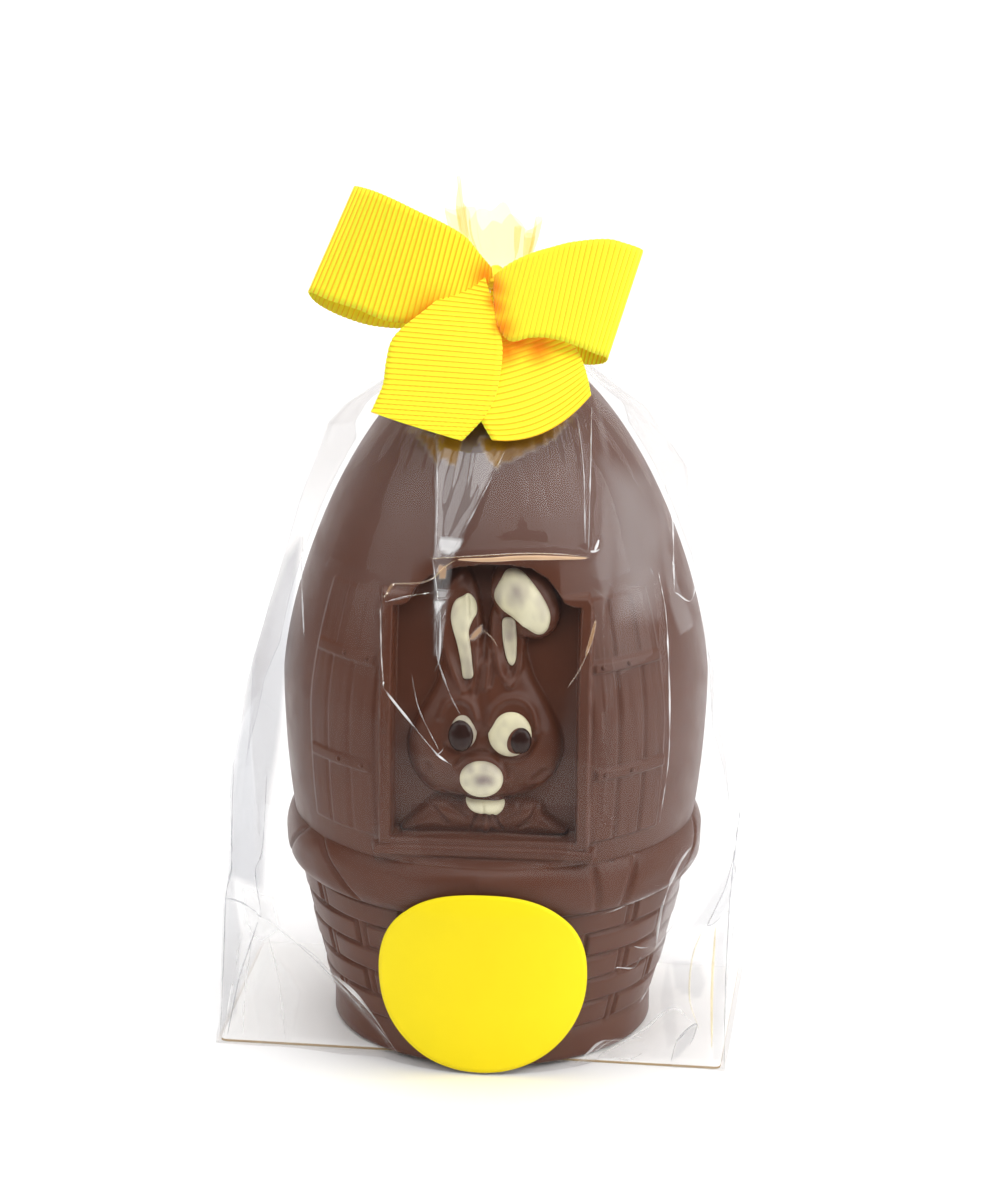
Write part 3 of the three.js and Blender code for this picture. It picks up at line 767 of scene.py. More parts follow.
@dataclass(frozen=True)
class WindowRelief:
    """The window in the egg's front and the rabbit that looks out of it."""

    half: float = 21.5
    middle: float = 0.65
    bottom: float = 60.5
    top: float = 115.8
    bar: float = 3.0
    recess: float = 6.5
    setback: float = 3.6
    arch: Polyline = (
        (22.15, 116.2), (20.2, 116.3), (18.3, 117), (16.5, 119.6), (14.2, 122.3), (10.5, 124.7),
        (5.1, 125.6), (-0.9, 125.5), (-6.8, 124.5), (-12.5, 122.3), (-16, 119.3), (-17.5, 116.3),
        (-19, 115.6), (-20.85, 115.5),
    )
    sill_half: float = 26.2
    sill_low: float = 55.9
    sill_high: float = 59.0
    sill_out: float = 0.8
    sill_round: float = 1.4
    flat_from: Pair = (54.0, 56.3)
    lumps: tuple[Lump | Pillow, ...] = (
        Lump(-5.6, 109.5, 5.3, 14.5, 3.9, -5),
        Lump(5.0, 107.5, 4.6, 14, 3.9, 5),
        Lump(9.1, 116.9, 7.0, 9.6, 3.6, -38, 2.2),
        Pillow(
            ((9.2, 105), (11.6, 99), (14.8, 93.6), (17.8, 87.2), (18.6, 82), (16.9, 76.8), (12.4, 72.2),
             (6.7, 69.8), (0.6, 69.2), (-4.3, 69.6), (-11.4, 71), (-15.4, 75.2), (-17.2, 80.4),
             (-17, 85.2), (-14.2, 91.2), (-11, 97.4), (-9.4, 104), (-4, 108), (4, 108)),
            8.5, 4.2,
        ),
        Lump(0.4, 90.5, 11.5, 12.5, 5.2),
        Lump(-9.8, 79.6, 6.6, 7.0, 4.6, -16),
        Lump(10.8, 79.8, 6.8, 7.4, 4.8, 16),
        Lump(0.2, 76.6, 8.4, 6.9, 6.4),
        Lump(0.7, 68.2, 5.4, 3.2, 4.4),
        Pillow(
            ((-18.9, 60.9), (-16, 65.2), (-11.8, 68.6), (-7.8, 69.4), (-1, 68), (2, 68), (7.9, 69.8),
             (12, 68.8), (15.4, 65.8), (19.8, 61.2), (8, 60.6), (-7, 60.4)),
            4.0, 3.2,
        ),
        Lump(-7.8, 66.2, 5.6, 3.2, 3.8, 14),
        Lump(9.0, 66.4, 5.6, 3.2, 3.8, -14),
        Lump(0.9, 63.6, 1.7, 2.6, 4.3),
    )
    strokes: tuple[Stroke, ...] = (
        # ears: raised edges round a hollow
        Stroke(
            ((-4.6, 96.6), (-7.2, 101), (-9.6, 107.2), (-9.9, 113.2), (-8.4, 118.8), (-6, 122)),
            0.9, 0.7,
        ),
        Stroke(
            ((-3.4, 121.6), (-1.5, 118), (-1.2, 112.6), (-1.4, 106.7), (-1.6, 101.5), (-2.8, 97.4)),
            0.8, 0.7,
        ),
        Stroke(((-3.6, 98.6), (-5.4, 103.6), (-6.6, 109.6), (-5.4, 116)), 1.7, -1.2),
        Stroke(((0.9, 119.6), (1.4, 113.4), (2.4, 106.1), (4.2, 100.8), (6.2, 98.2)), 0.8, 0.7),
        Stroke(((6.2, 98.2), (8.4, 102.2), (9.1, 107.8), (8.8, 112)), 0.8, 0.7),
        Stroke(((6.2, 101), (6, 106), (5.4, 112.6)), 1.5, -1.3),
        Stroke(((-0.6, 121.6), (-0.3, 115.3), (0.2, 109.6), (0.3, 104)), 0.9, -1.4),
        # tuft between the ears
        Stroke(((0.2, 108.2), (0.9, 104.4), (1, 100.6), (0.6, 97.4)), 0.7, 0.7),
        Stroke(((-1.2, 106.2), (-0.9, 102.4), (-0.9, 98.6), (-1.6, 95.6)), 0.5, -0.45),
        Stroke(((2.2, 104.6), (2.2, 101.2), (1.8, 98)), 0.5, -0.4),
        # brows and eye sockets
        Stroke(((1.6, 89.4), (2.8, 92.8), (5.6, 95), (9, 94.8), (11.6, 92.2), (12.6, 88.2)), 0.9, 0.8),
        Stroke(((-9.6, 90.2), (-8.2, 93.4), (-5.4, 94.8), (-2.6, 93.6), (-1.2, 90.2)), 0.9, 0.8),
        Stroke(((1.4, 86.4), (2.8, 82.4), (6.2, 80.6), (10, 81.6), (12.2, 85.2)), 0.6, -0.7),
        Stroke(((-1.2, 87), (-2.2, 83.6), (-5, 81.8), (-8.2, 83.4)), 0.6, -0.5),
        Stroke(((-0.4, 96), (0.2, 91), (0.4, 86)), 1.4, -0.5),
        # nose bridge, mouth and cheeks
        Stroke(((-5.9, 78.8), (-4.2, 80.9), (-0.6, 82.1), (3, 81.4), (5.4, 78.9), (6, 76.4)), 0.5, -0.6),
        Stroke(((-9.6, 71.6), (-6.2, 70.2), (-3.6, 70.1)), 0.6, -0.7),
        Stroke(((5.2, 70), (8.4, 70.8), (12.2, 73.3)), 0.6, -0.7),
        Stroke(((8, 79.6), (11, 82.4), (14.2, 86.6)), 1.5, 0.45),
        Stroke(((14.4, 77.4), (12.6, 75.6)), 1.2, -0.7),
        Stroke(((-12.6, 78.4), (-12.4, 77.8)), 1.0, -0.8),
        # neckerchief
        Stroke(((-12.2, 68.4), (-10, 66.2), (-8, 63.8)), 0.6, -0.8),
        Stroke(((12.8, 68.4), (11.4, 65.4), (8.8, 63)), 0.6, -0.8),
        Stroke(((-7.2, 69), (-5.4, 67.2), (-3.2, 65.4)), 0.5, -0.6),
        Stroke(((8.8, 68.8), (8.2, 66.8), (5.2, 64.9)), 0.5, -0.6),
        Stroke(((-1, 66.4), (-2.6, 62.2)), 0.4, -0.8),
        Stroke(((2.6, 66.4), (4.6, 62.4)), 0.4, -0.8),
        Stroke(((0.5, 66), (0.2, 62)), 0.35, -0.6),
        Stroke(((1.4, 66), (2, 62)), 0.35, -0.6),
        Stroke(((-18.4, 61.4), (-11.3, 61.1), (0.8, 60.9), (8.6, 61.1), (19.3, 61.6)), 0.4, 0.5),
    )

    def outline(self) -> list[Pair]:
        """The opening's outline, with its arch for the ears."""
        left, right = self.middle - self.half, self.middle + self.half
        return [(left, self.bottom), (right, self.bottom), *self.arch]

    def front(self, z: Array) -> Array:
        """Depth of the window's flat front, as y."""
        return -(PROFILE.shell(z) - self.setback)

    def floor(self, z: Array) -> Array:
        """Depth of the recess floor, as y."""
        return self.front(z) + self.recess

    def rabbit(self, x: Array, z: Array) -> Array:
        """Height of the rabbit above the recess floor.

        Args:
            x: Places across.
            z: Places up.

        Returns:
            The heights, never below zero.
        """
        joined = np.full(x.shape, -2.0)
        for lump in self.lumps:
            joined = soft_max(joined, lump.height(x, z), 1.3)
        cover = smooth(0.2, 1.4, joined)
        for stroke in self.strokes:
            joined = joined + stroke.height(x, z) * (cover if stroke.high < 0 else 1)
        return np.maximum(joined, 0)

    def apply(self, x: Array, y: Array, z: Array) -> Array:
        """Moves the shell's front in and out to make the window.

        Args:
            x: Places across on the plain shell.
            y: Depth of the plain shell.
            z: Heights.

        Returns:
            The new depths.
        """
        front = self.front(z)
        fade = smooth(self.top + 13, self.top + 3, z) * smooth(*self.flat_from, z)
        plain = np.where(y < front, lerp(y, front, fade), y)
        reach_x = np.abs(x - self.middle) - (self.half + self.bar)
        reach_z = np.maximum(self.bottom - 2 - z, z - (self.top + self.bar))
        frame_edge = np.maximum(reach_x, reach_z)
        bars = lerp(front, plain + 0.05, smooth(-0.55, 0.15, frame_edge))
        surface = np.where(frame_edge < 0.15, np.minimum(bars, plain), plain)
        mid = (self.sill_low + self.sill_high) / 2
        ex = np.abs(x - self.middle) - (self.sill_half - self.sill_round)
        ez = np.abs(z - mid) - ((self.sill_high - self.sill_low) / 2 - self.sill_round)
        sill_edge = np.hypot(np.maximum(ex, 0), np.maximum(ez, 0)) + np.minimum(np.maximum(ex, ez), 0)
        sill_edge = sill_edge - self.sill_round
        sill = lerp(front - self.sill_out, surface, smooth(-0.7, 0.1, sill_edge))
        surface = np.minimum(surface, sill)
        edge = outside_by(x, z, self.outline())
        recessed = self.floor(z) - self.rabbit(x, z)
        return lerp(recessed, surface, smooth(-0.55, 0.2, edge))


WINDOW = WindowRelief()


@dataclass
class EggShell:
    """The shell above the rim, with the shutters, as one closed body."""

    low: float = 53.4
    cap_from: float = 134
    fine_to: float = 34
    seen_to: float = 60
    window_to: float = 33
    window_below: float = 133
    shutter_from: float = 29.4
    shutter_to: float = 55.0
    shutter_low: float = 60.0
    shutter_high: float = 117.4
    plank_out: float = 0.9
    seam: float = 0.8
    batten_heights: Pair = (102.5, 77.0)
    batten_half: float = 1.35
    batten_out: float = 1.8
    batten_from: float = 31.0
    batten_to: float = 53.5
    left_share: float = 0.4
    nail_spots: Pair = (33.4, 41.6)

    def columns(self) -> Array:
        """Bearings of the columns, close together across the front.

        Returns:
            Degrees from the front.
        """
        near = np.arange(-self.fine_to, self.fine_to, 0.38)
        left = np.arange(-self.seen_to, -self.fine_to, 0.62)
        right = np.arange(self.fine_to, self.seen_to, 0.62)
        back = np.arange(self.seen_to, 360 - self.seen_to, 4.0)
        return np.concatenate([left, near, right, back])

    def rows(self) -> Array:
        """Heights of the rows, close together across the window.

        Returns:
            The heights, from the rim to just below the tip.
        """
        dense = np.arange(self.low, self.cap_from, 0.36)
        arc = np.linspace(0, 1, 44)[1:]
        cap = lerp(self.cap_from, PROFILE.top, np.sin(arc * math.pi / 2))
        return np.concatenate([dense, cap[:-1]])

    def shutters(self, bearing: Array, z: Array) -> Array:
        """How far the shutters stand out of the shell.

        Args:
            bearing: Degrees from the front.
            z: Heights.

        Returns:
            The heights.
        """
        a = np.abs(bearing)
        wide = (self.shutter_to - self.shutter_from) / 3
        spot = np.mod(a - self.shutter_from, wide)
        within = smooth(self.shutter_from - 0.5, self.shutter_from + 0.3, a)
        within = within * smooth(self.shutter_to - self.seam + 0.5, self.shutter_to - self.seam - 0.4, a)
        within = within * smooth(self.shutter_low - 0.4, self.shutter_low + 0.4, z)
        within = within * smooth(self.shutter_high + 0.4, self.shutter_high - 0.4, z)
        seam = smooth(0.7, 0.1, np.minimum(spot, wide - spot))
        wood = 0.07 * ripple(5, 5.0, a * 2.4, z * 0.16) + 0.05 * ripple(8, 2.2, a * 2.8, z * 0.10)
        planks = within * (self.plank_out * (1 - 0.7 * seam) + wood)
        height = np.zeros(z.shape)
        for middle in self.batten_heights:
            across = smooth(self.batten_from - 0.4, self.batten_from + 0.2, a)
            across = across * smooth(self.batten_to + 0.4, self.batten_to - 0.2, a)
            up = smooth(self.batten_half + 0.25, self.batten_half - 0.35, np.abs(z - middle))
            height = np.maximum(height, across * up)
        share = np.where(bearing < 0, self.left_share, 1.0)
        return np.maximum(planks, lerp(planks, self.batten_out, height)) * share

    def build(self) -> Object:
        """Makes the shell.

        Returns:
            The shell.
        """
        bearing, z = np.meshgrid(self.columns(), self.rows())
        radius = PROFILE.shell(z) + self.shutters(bearing, z)
        radius = radius + 0.05 * ripple(3, 60.0, bearing * 0.9, z)
        a = np.radians(bearing)
        x, y = radius * np.sin(a), -radius * np.cos(a)
        near = (np.abs(bearing) < self.window_to) & (z < self.window_below)
        y[near] = WINDOW.apply(x[near], y[near], z[near])
        made = tube("egg_shell", turned(np.stack([x, y, z], -1), PROFILE.yaw))
        return dress(made, Finish.MILK, "egg")


@dataclass
class EggBasket:
    """Foot, basket weave and twisted rim below the shell."""

    rows_of_strips: int = 5
    stakes: int = 20
    relief: float = 1.2
    stake_half: float = 1.5
    phase: float = 13.7
    columns: int = 680
    groove_half: float = 1.1
    groove_deep: float = 0.9
    foot_round: Polyline = ((1.1, 1.1), (1.4, 0.5), (2.1, 0), (8.6, 0), (9.4, 0.6))
    twists: tuple[Pair, ...] = (
        (-35, -54), (33.8, 32), (41.7, 47), (66, 84), (100, 119), (136, 155), (172, 190), (208, 226),
        (244, 262), (280, 299),
    )

    def weave(self, bearing: Array, z: Array) -> Array:
        """How far the weave sinks below the basket's round face.

        Args:
            bearing: Degrees from the front.
            z: Heights.

        Returns:
            Depths, zero on the crown of a strip.
        """
        high = (PROFILE.basket_top - PROFILE.foot_top) / self.rows_of_strips
        row = np.floor((z - PROFILE.foot_top) / high)
        across = (z - PROFILE.foot_top) / high - row
        step = 360 / self.stakes
        stake = (bearing - self.phase) / step
        shown = np.where(np.mod(row, 2) == 0, 0.0, 1.0)
        from_shown = (np.mod(stake - shown + 1, 2) - 1) * step
        off = np.abs(from_shown)
        gap = 0.11
        strip = smooth(0, gap, across) * smooth(1, 1 - gap, across)
        dive = smooth(self.stake_half + 0.2, self.stake_half + 1.3, off)
        crown = 0.25 * (1 - smooth(0, step, off)) * dive
        strip = strip * dive * (1 - crown)
        post = 0.5 * smooth(self.stake_half + 0.1, self.stake_half - 0.7, off)
        return self.relief * (1 - np.maximum(strip, post))

    def build(self) -> Object:
        """Makes the basket as one closed body.

        Returns:
            The basket.
        """
        heights = np.concatenate([
            [PROFILE.base, PROFILE.base + 0.3, PROFILE.base + 1], np.linspace(3.5, PROFILE.foot_top - 0.3, 6),
            np.arange(PROFILE.foot_top, PROFILE.basket_top, 0.42),
            np.linspace(PROFILE.basket_top, PROFILE.rim_height + PROFILE.rim_half, 34),
        ])
        bearing, z = np.meshgrid(np.arange(self.columns) * 360 / self.columns, heights)
        foot = PROFILE.foot_radius - np.interp(z, *zip(*self.foot_round))
        basket = PROFILE.basket(z) - self.weave(bearing, z)
        radius = np.where(z < PROFILE.foot_top, foot, basket)
        on_rim = z >= PROFILE.basket_top
        part = (z - PROFILE.rim_height) / PROFILE.rim_half
        groove = np.zeros(z.shape)
        for low, high in self.twists:
            line = lerp(low, high, (part + 1) / 2)
            off = np.abs(np.mod(bearing - line + 180, 360) - 180)
            groove = np.maximum(groove, np.exp(-((off / self.groove_half) ** 2)))
        rim = PROFILE.rim(z) - self.groove_deep * groove * (1 - np.abs(part) ** 4)
        rim = rim + 0.12 * ripple(12, 26, bearing, z * 2)
        radius = np.where(on_rim, rim, radius)
        a = np.radians(bearing)
        rings = np.stack([radius * np.sin(a), -radius * np.cos(a), z], -1)
        return dress(tube("egg_basket", turned(rings, PROFILE.yaw)), Finish.MILK, "egg")


@dataclass(frozen=True)
class Smudge:
    """A soft round place where white chocolate is thin and the milk chocolate shows through."""

    x: float
    z: float
    wide: float
    high: float
    amount: float

    def at(self, x: Array, z: Array) -> Array:
        """How thin the chocolate is at each place."""
        return self.amount * np.exp(-(((x - self.x) / self.wide) ** 2) - ((z - self.z) / self.high) ** 2)


def set_thin(obj: Object, smudges: Sequence[Smudge]) -> None:
    """Stores how thin the white chocolate is at each point.

    Args:
        obj: The piece.
        smudges: Its thin places.
    """
    points = np.empty(len(obj.data.vertices) * 3)
    obj.data.vertices.foreach_get("co", points)
    x, _, z = turned(points.reshape(-1, 3) / MM, -PROFILE.yaw).T
    thin = np.zeros(len(x))
    for smudge in smudges:
        thin = np.maximum(thin, smudge.at(x, z))
    set_numbers(obj, "thin", np.clip(thin + 0.12 * ripple(61, 5, x, z) * (thin > 0.02), 0, 1))


@dataclass(frozen=True)
class Inlay:
    """A patch of another chocolate lying in the relief, thick in the middle and thin at its edge."""

    node: str
    outline: Polyline
    spine: Polyline
    thick: float
    finish: Finish
    groove: Polyline = ()
    smudges: tuple[Smudge, ...] = ()
    sunk: float = 0.9
    groove_deep: float = 0.55
    groove_half: float = 0.35

    def build(self) -> Object:
        """Makes the patch as a closed body that sinks a little into what it lies on.

        Returns:
            The patch.
        """
        edge = spline(self.outline, 84, closed=True)
        path = spline(self.spine, 40)
        nearest = np.argmin(((edge[:, None] - path[None]) ** 2).sum(-1), 1)
        heart = path[nearest]
        steps = np.concatenate([np.linspace(0.0, 1, 15)[1:], [1.0]])
        rings = []
        for k, share in enumerate(steps):
            flat = lerp(heart, edge, share)
            x, z = flat[:, 0], flat[:, 1]
            under = WINDOW.floor(z) - WINDOW.rabbit(x, z)
            rise = self.thick * np.sqrt(max(1 - share**3.2, 0)) if k < len(steps) - 2 else 0.02 * self.thick
            if k == len(steps) - 1:
                rise = -self.sunk
            if self.groove:
                line = np.exp(-((from_line(x, z, self.groove) / self.groove_half) ** 2))
                rise = rise - self.groove_deep * line * (share < 1)
            rings.append(np.stack([x, under - rise, z], -1))
        rings = np.array(rings)[::-1]
        columns = rings.shape[1]
        faces = quads(len(rings), columns)
        loop = list(range((len(rings) - 1) * columns, len(rings) * columns))
        faces += [loop, list(range(columns))[::-1]]
        made = to_object(self.node + "_dressed", turned(rings.reshape(-1, 3), PROFILE.yaw), faces)
        tidy(made)
        set_thin(made, self.smudges)
        return dress(made, self.finish, self.node)


def tidy(obj: Object, distance: float = 0.00002) -> None:
    """Merges doubled points and turns every face outwards.

    Args:
        obj: Mesh object.
        distance: Points closer than this are merged.
    """
    bm = bmesh.new()
    bm.from_mesh(obj.data)
    bmesh.ops.remove_doubles(bm, verts=bm.verts, dist=distance)
    bmesh.ops.triangulate(bm, faces=[f for f in bm.faces if len(f.verts) > 4])
    bmesh.ops.recalc_face_normals(bm, faces=bm.faces)
    bm.to_mesh(obj.data)
    bm.free()
    obj.data.polygons.foreach_set("use_smooth", np.ones(len(obj.data.polygons), bool))


@dataclass(frozen=True)
class Bead:
    """A rounded drop of chocolate: an eye, a pupil or the nose."""

    node: str
    lump: Lump
    finish: Finish
    flatten: float = 1.0
    smudges: tuple[Smudge, ...] = ()

    def build(self) -> Object:
        """Makes the drop as a smooth ball.

        Returns:
            The drop.
        """
        rows, columns = 30, 48
        up = np.linspace(-math.pi / 2, math.pi / 2, rows)[1:-1]
        round_ = np.arange(columns) / columns * 2 * math.pi
        v, u = np.meshgrid(up, round_, indexing="ij")
        x = np.cos(v) * np.cos(u) * self.lump.wide
        y = np.sign(np.cos(v) * np.sin(u)) * np.abs(np.cos(v) * np.sin(u)) ** self.flatten * self.lump.deep
        z = np.sin(v) * self.lump.high
        centre = float(WINDOW.floor(np.array(self.lump.z))) - self.lump.out
        rings = np.stack([x + self.lump.x, y + centre, z + self.lump.z], -1)
        made = tube(self.node + "_dressed", turned(rings, PROFILE.yaw))
        set_thin(made, self.smudges)
        return dress(made, self.finish, *([] if self.finish is Finish.MILK else [self.node]))


class RabbitFace:
    """Inlaid white and dark chocolate on the rabbit."""

    beads: tuple[Bead, ...] = (
        Bead(
            "eye_white_right", Lump(6.5, 86.7, 5.0, 5.4, 2.3, 0, 4.1), Finish.WHITE,
            smudges=(Smudge(9.0, 84.6, 3.6, 4.4, 0.45),),
        ),
        Bead(
            "eye_white_left", Lump(-4.1, 87.0, 3.0, 4.2, 2.1, 0, 4.1), Finish.WHITE,
            smudges=(Smudge(-5.0, 86.0, 6.0, 6.0, 0.9),),
        ),
        Bead("pupil_rim", Lump(8.15, 85.8, 3.0, 3.4, 1.2, 0, 5.5), Finish.MILK),
        Bead("pupil_right", Lump(8.9, 85.7, 2.7, 3.2, 1.5, 0, 5.6), Finish.DARK),
        Bead("pupil_left", Lump(-4.7, 86.3, 2.9, 3.8, 1.5, 0, 5.44), Finish.DARK),
        Bead(
            "nose", Lump(0.15, 76.0, 5.0, 4.3, 2.9, 0, 5.6), Finish.WHITE, 0.8,
            (
                Smudge(0.8, 76.6, 3.2, 2.0, 0.9), Smudge(2.4, 79.2, 4.8, 2.2, 0.6),
                Smudge(-2.4, 78.9, 2.6, 1.8, 0.5),
            ),
        ),
    )
    inlays: tuple[Inlay, ...] = (
        Inlay(
            "ear_stripe_left",
            ((-3.9, 117.7), (-2.3, 116), (-1.9, 113.6), (-2.8, 111.9), (-3.5, 109.6), (-3.1, 106.6),
             (-2.5, 102.8), (-2.2, 100.1), (-3.3, 98.9), (-4.6, 99.2), (-5.2, 102.2), (-6.2, 106.4),
             (-7.5, 110.5), (-7.8, 113.4), (-7, 116), (-5.3, 117)),
            ((-5, 115.6), (-5.4, 111.4), (-4.6, 106.2), (-3.5, 100.4)), 0.9, Finish.WHITE,
            ((-3.9, 117.1), (-3.7, 114.8), (-3.5, 112.6)),
            (Smudge(-3.4, 102.0, 1.9, 6.5, 0.55), Smudge(-6.9, 113.5, 1.2, 3.0, 0.35)),
        ),
        Inlay(
            "ear_stripe_right",
            ((4.3, 112.6), (6.9, 112.8), (7.4, 109.9), (7.5, 107), (7.4, 103.6), (6.7, 102.1),
             (5.7, 102.7), (4.7, 105.8), (4.1, 109.9)),
            ((5.6, 111.4), (6.2, 104.4)), 0.9, Finish.WHITE,
            smudges=(Smudge(5.9, 110.5, 2.8, 7.5, 0.65), Smudge(6.8, 103.0, 1.4, 2.0, 0.3)),
        ),
        Inlay(
            "ear_flap_patch",
            ((4.9, 123.6), (7.9, 123.6), (10.9, 121), (13.8, 117.2), (15.1, 113.8), (14.3, 110.5),
             (12.1, 109.7), (8.3, 112.2), (4.9, 114.2), (2.5, 116.5), (2.1, 118.6), (3.4, 121.4)),
            ((5.6, 119.6), (11.4, 113.4)), 1.1, Finish.WHITE,
            smudges=(
                Smudge(7.2, 119.0, 2.6, 2.4, 0.75), Smudge(2.9, 117.6, 1.4, 3.0, 0.5),
                Smudge(13.6, 116.6, 1.6, 3.2, 0.4), Smudge(7.0, 123.4, 3.0, 1.2, 0.35),
            ),
        ),
        Inlay(
            "teeth",
            ((-3.7, 69.6), (-1.6, 69.9), (0.6, 70), (2.9, 69.8), (5.2, 69.4), (4.9, 67.4), (3.3, 66.1),
             (1.1, 66.6), (-1.1, 66.8), (-2.9, 67.9)),
            ((-1.6, 68.4), (3.2, 68.1)), 1.3, Finish.WHITE, ((0.4, 70.2), (1, 66.3)),
        ),
    )

    def build(self) -> None:
        """Makes every inlay."""
        for piece in (*self.beads, *self.inlays):
            piece.build()


# ---------------------------------------------------------------- node trees that repeat a form


class GeometryTree(NodeTree):
    """A Geometry Nodes tree with named inputs."""

    def __init__(self, name: str, sizes: Sequence[str]) -> None:
        """Starts a tree that takes and gives a mesh.

        Args:
            name: Tree name.
            sizes: Names of its numbers.
        """
        super().__init__(bpy.data.node_groups.new(name, "GeometryNodeTree"))
        new = self.tree.interface.new_socket
        for way in ("INPUT", "OUTPUT"):
            new(name="Geometry", in_out=way, socket_type="NodeSocketGeometry")
        self.sockets = {
            size: new(name=size, in_out="INPUT", socket_type="NodeSocketFloat").identifier for size in sizes
        }
        self.given = self.add("NodeGroupInput").outputs

    def vector(self, operation: str, inputs: dict) -> Socket:
        """Adds a Vector Math node and returns its result."""
        return self.add("ShaderNodeVectorMath", inputs, operation=operation).outputs[0]

    def close(self, geometry: Socket, material: Material) -> None:
        """Makes instances real, sets the material and joins the output.

        Args:
            geometry: What the tree has made.
            material: Material of all of it.
        """
        real = self.add("GeometryNodeRealizeInstances", {"Geometry": geometry}).outputs[0]
        dressed = self.add("GeometryNodeSetMaterial", {"Geometry": real, "Material": material}).outputs[0]
        self.add("NodeGroupOutput", {"Geometry": dressed})

    def run(self, obj: Object, sizes: dict[str, float]) -> None:
        """Runs the tree on an object and leaves a plain mesh.

        Args:
            obj: Object whose mesh the tree takes.
            sizes: Values of the named inputs.
        """
        modifier = obj.modifiers.new(self.tree.name, "NODES")
        modifier.node_group = self.tree
        for name, value in sizes.items():
            modifier[self.sockets[name]] = value
        settle(obj, modifier)


def nail_tree(material: Material) -> GeometryTree:
    """A tree that sets a round nail head on every point.

    Args:
        material: The heads' material.

    Returns:
        The tree, with input "Head radius" in metres.
    """
    g = GeometryTree("nail_heads", ["Head radius"])
    head = g.add("GeometryNodeMeshIcoSphere", {"Radius": g.given["Head radius"], "Subdivisions": 3})
    points = g.add("GeometryNodeMeshToPoints", {"Mesh": g.given["Geometry"]})
    spots = {"Points": points.outputs[0], "Instance": head.outputs["Mesh"]}
    heads = g.add("GeometryNodeInstanceOnPoints", spots).outputs[0]
    g.close(g.add("GeometryNodeSetShadeSmooth", {0: heads}).outputs[0], material)
    return g


def rib_tree(material: Material) -> GeometryTree:
    """A tree that presses ribs across a ribbon and scallops its woven edges.

    Args:
        material: The ribbon's material.

    Returns:
        The tree, with inputs "Rib pitch", "Rib height" and "Picot" in metres.
    """
    g = GeometryTree("ribbon_ribs", ["Rib pitch", "Rib height", "Picot"])
    along = g.add("GeometryNodeInputNamedAttribute", {"Name": "along"}, data_type="FLOAT").outputs[0]
    edge = g.add("GeometryNodeInputNamedAttribute", {"Name": "outward"}, data_type="FLOAT_VECTOR").outputs[0]
    normal = g.add("GeometryNodeInputNormal").outputs[0]
    turns = g.math("MULTIPLY", g.math("DIVIDE", along, g.given["Rib pitch"]), math.pi)
    rib = g.math("POWER", g.math("ABSOLUTE", g.math("SINE", turns)), 0.6)
    ribs = g.vector("SCALE", {0: normal, "Scale": g.math("MULTIPLY", rib, g.given["Rib height"])})
    picot = g.vector("SCALE", {0: edge, "Scale": g.math("MULTIPLY", rib, g.given["Picot"])})
    both = g.vector("ADD", {0: ribs, 1: picot})
    moved = g.add("GeometryNodeSetPosition", {"Geometry": g.given["Geometry"], "Offset": both})
    g.close(moved.outputs[0], material)
    return g


@dataclass
class ShutterNails:
    """Nail heads in the shutters' battens."""

    shell: EggShell
    radius: float = 0.62
    sunk: float = 0.3

    def build(self) -> Object:
        """Makes the heads, which sit lower on the faint left shutter.

        Returns:
            All the heads as one piece.
        """
        spots = []
        for side in (-1, 1):
            lift = self.shell.batten_out * (self.sunk if side < 0 else 1)
            for z in self.shell.batten_heights:
                for bearing in self.shell.nail_spots:
                    a = math.radians(side * bearing)
                    out = float(PROFILE.shell(z)) + lift
                    spots.append((out * math.sin(a), -out * math.cos(a), z))
        made = to_object("shutter_nails", turned(np.array(spots), PROFILE.yaw), [])
        nail_tree(Finish.MILK.material()).run(made, {"Head radius": self.radius * MM})
        return dress(made, Finish.MILK)


# ---------------------------------------------------------------- card and label


@dataclass
class BaseCard:
    """White board that the egg stands on."""

    width: float = 120.0
    depth: float = 64.0
    thick: float = 0.8
    corner: float = 1.5
    corner_points: int = 5
    edge: float = 0.12
    yaw: float = -6.5
    x: float = -1.8
    y: float = 3.2

    def outline(self, inset: float) -> Array:
        """The card's outline, moved in by some distance.

        Args:
            inset: How far in.

        Returns:
            Points across and deep.
        """
        w, d, r = self.width / 2 - inset, self.depth / 2 - inset, self.corner
        points = []
        for sx, sy, start in ((1, -1, -90), (1, 1, 0), (-1, 1, 90), (-1, -1, 180)):
            for a in np.radians(start + np.linspace(0, 90, self.corner_points)):
                points.append((sx * (w - r) + r * math.cos(a), sy * (d - r) + r * math.sin(a)))
        return np.array(points)

    def build(self) -> Object:
        """Makes the card with its edges slightly rounded.

        Returns:
            The card.
        """
        rings = []
        soft = self.edge
        levels = ((0, soft), (soft, 0), (self.thick - soft, 0), (self.thick, soft), (self.thick, 4))
        for z, inset in levels:
            flat = self.outline(inset)
            rings.append(np.column_stack([flat, np.full(len(flat), z)]))
        points = turned(np.array(rings), self.yaw) + np.array([self.x, self.y, 0])
        made = tube("base_card", points)
        return dress(made, Finish.CARD, "card")


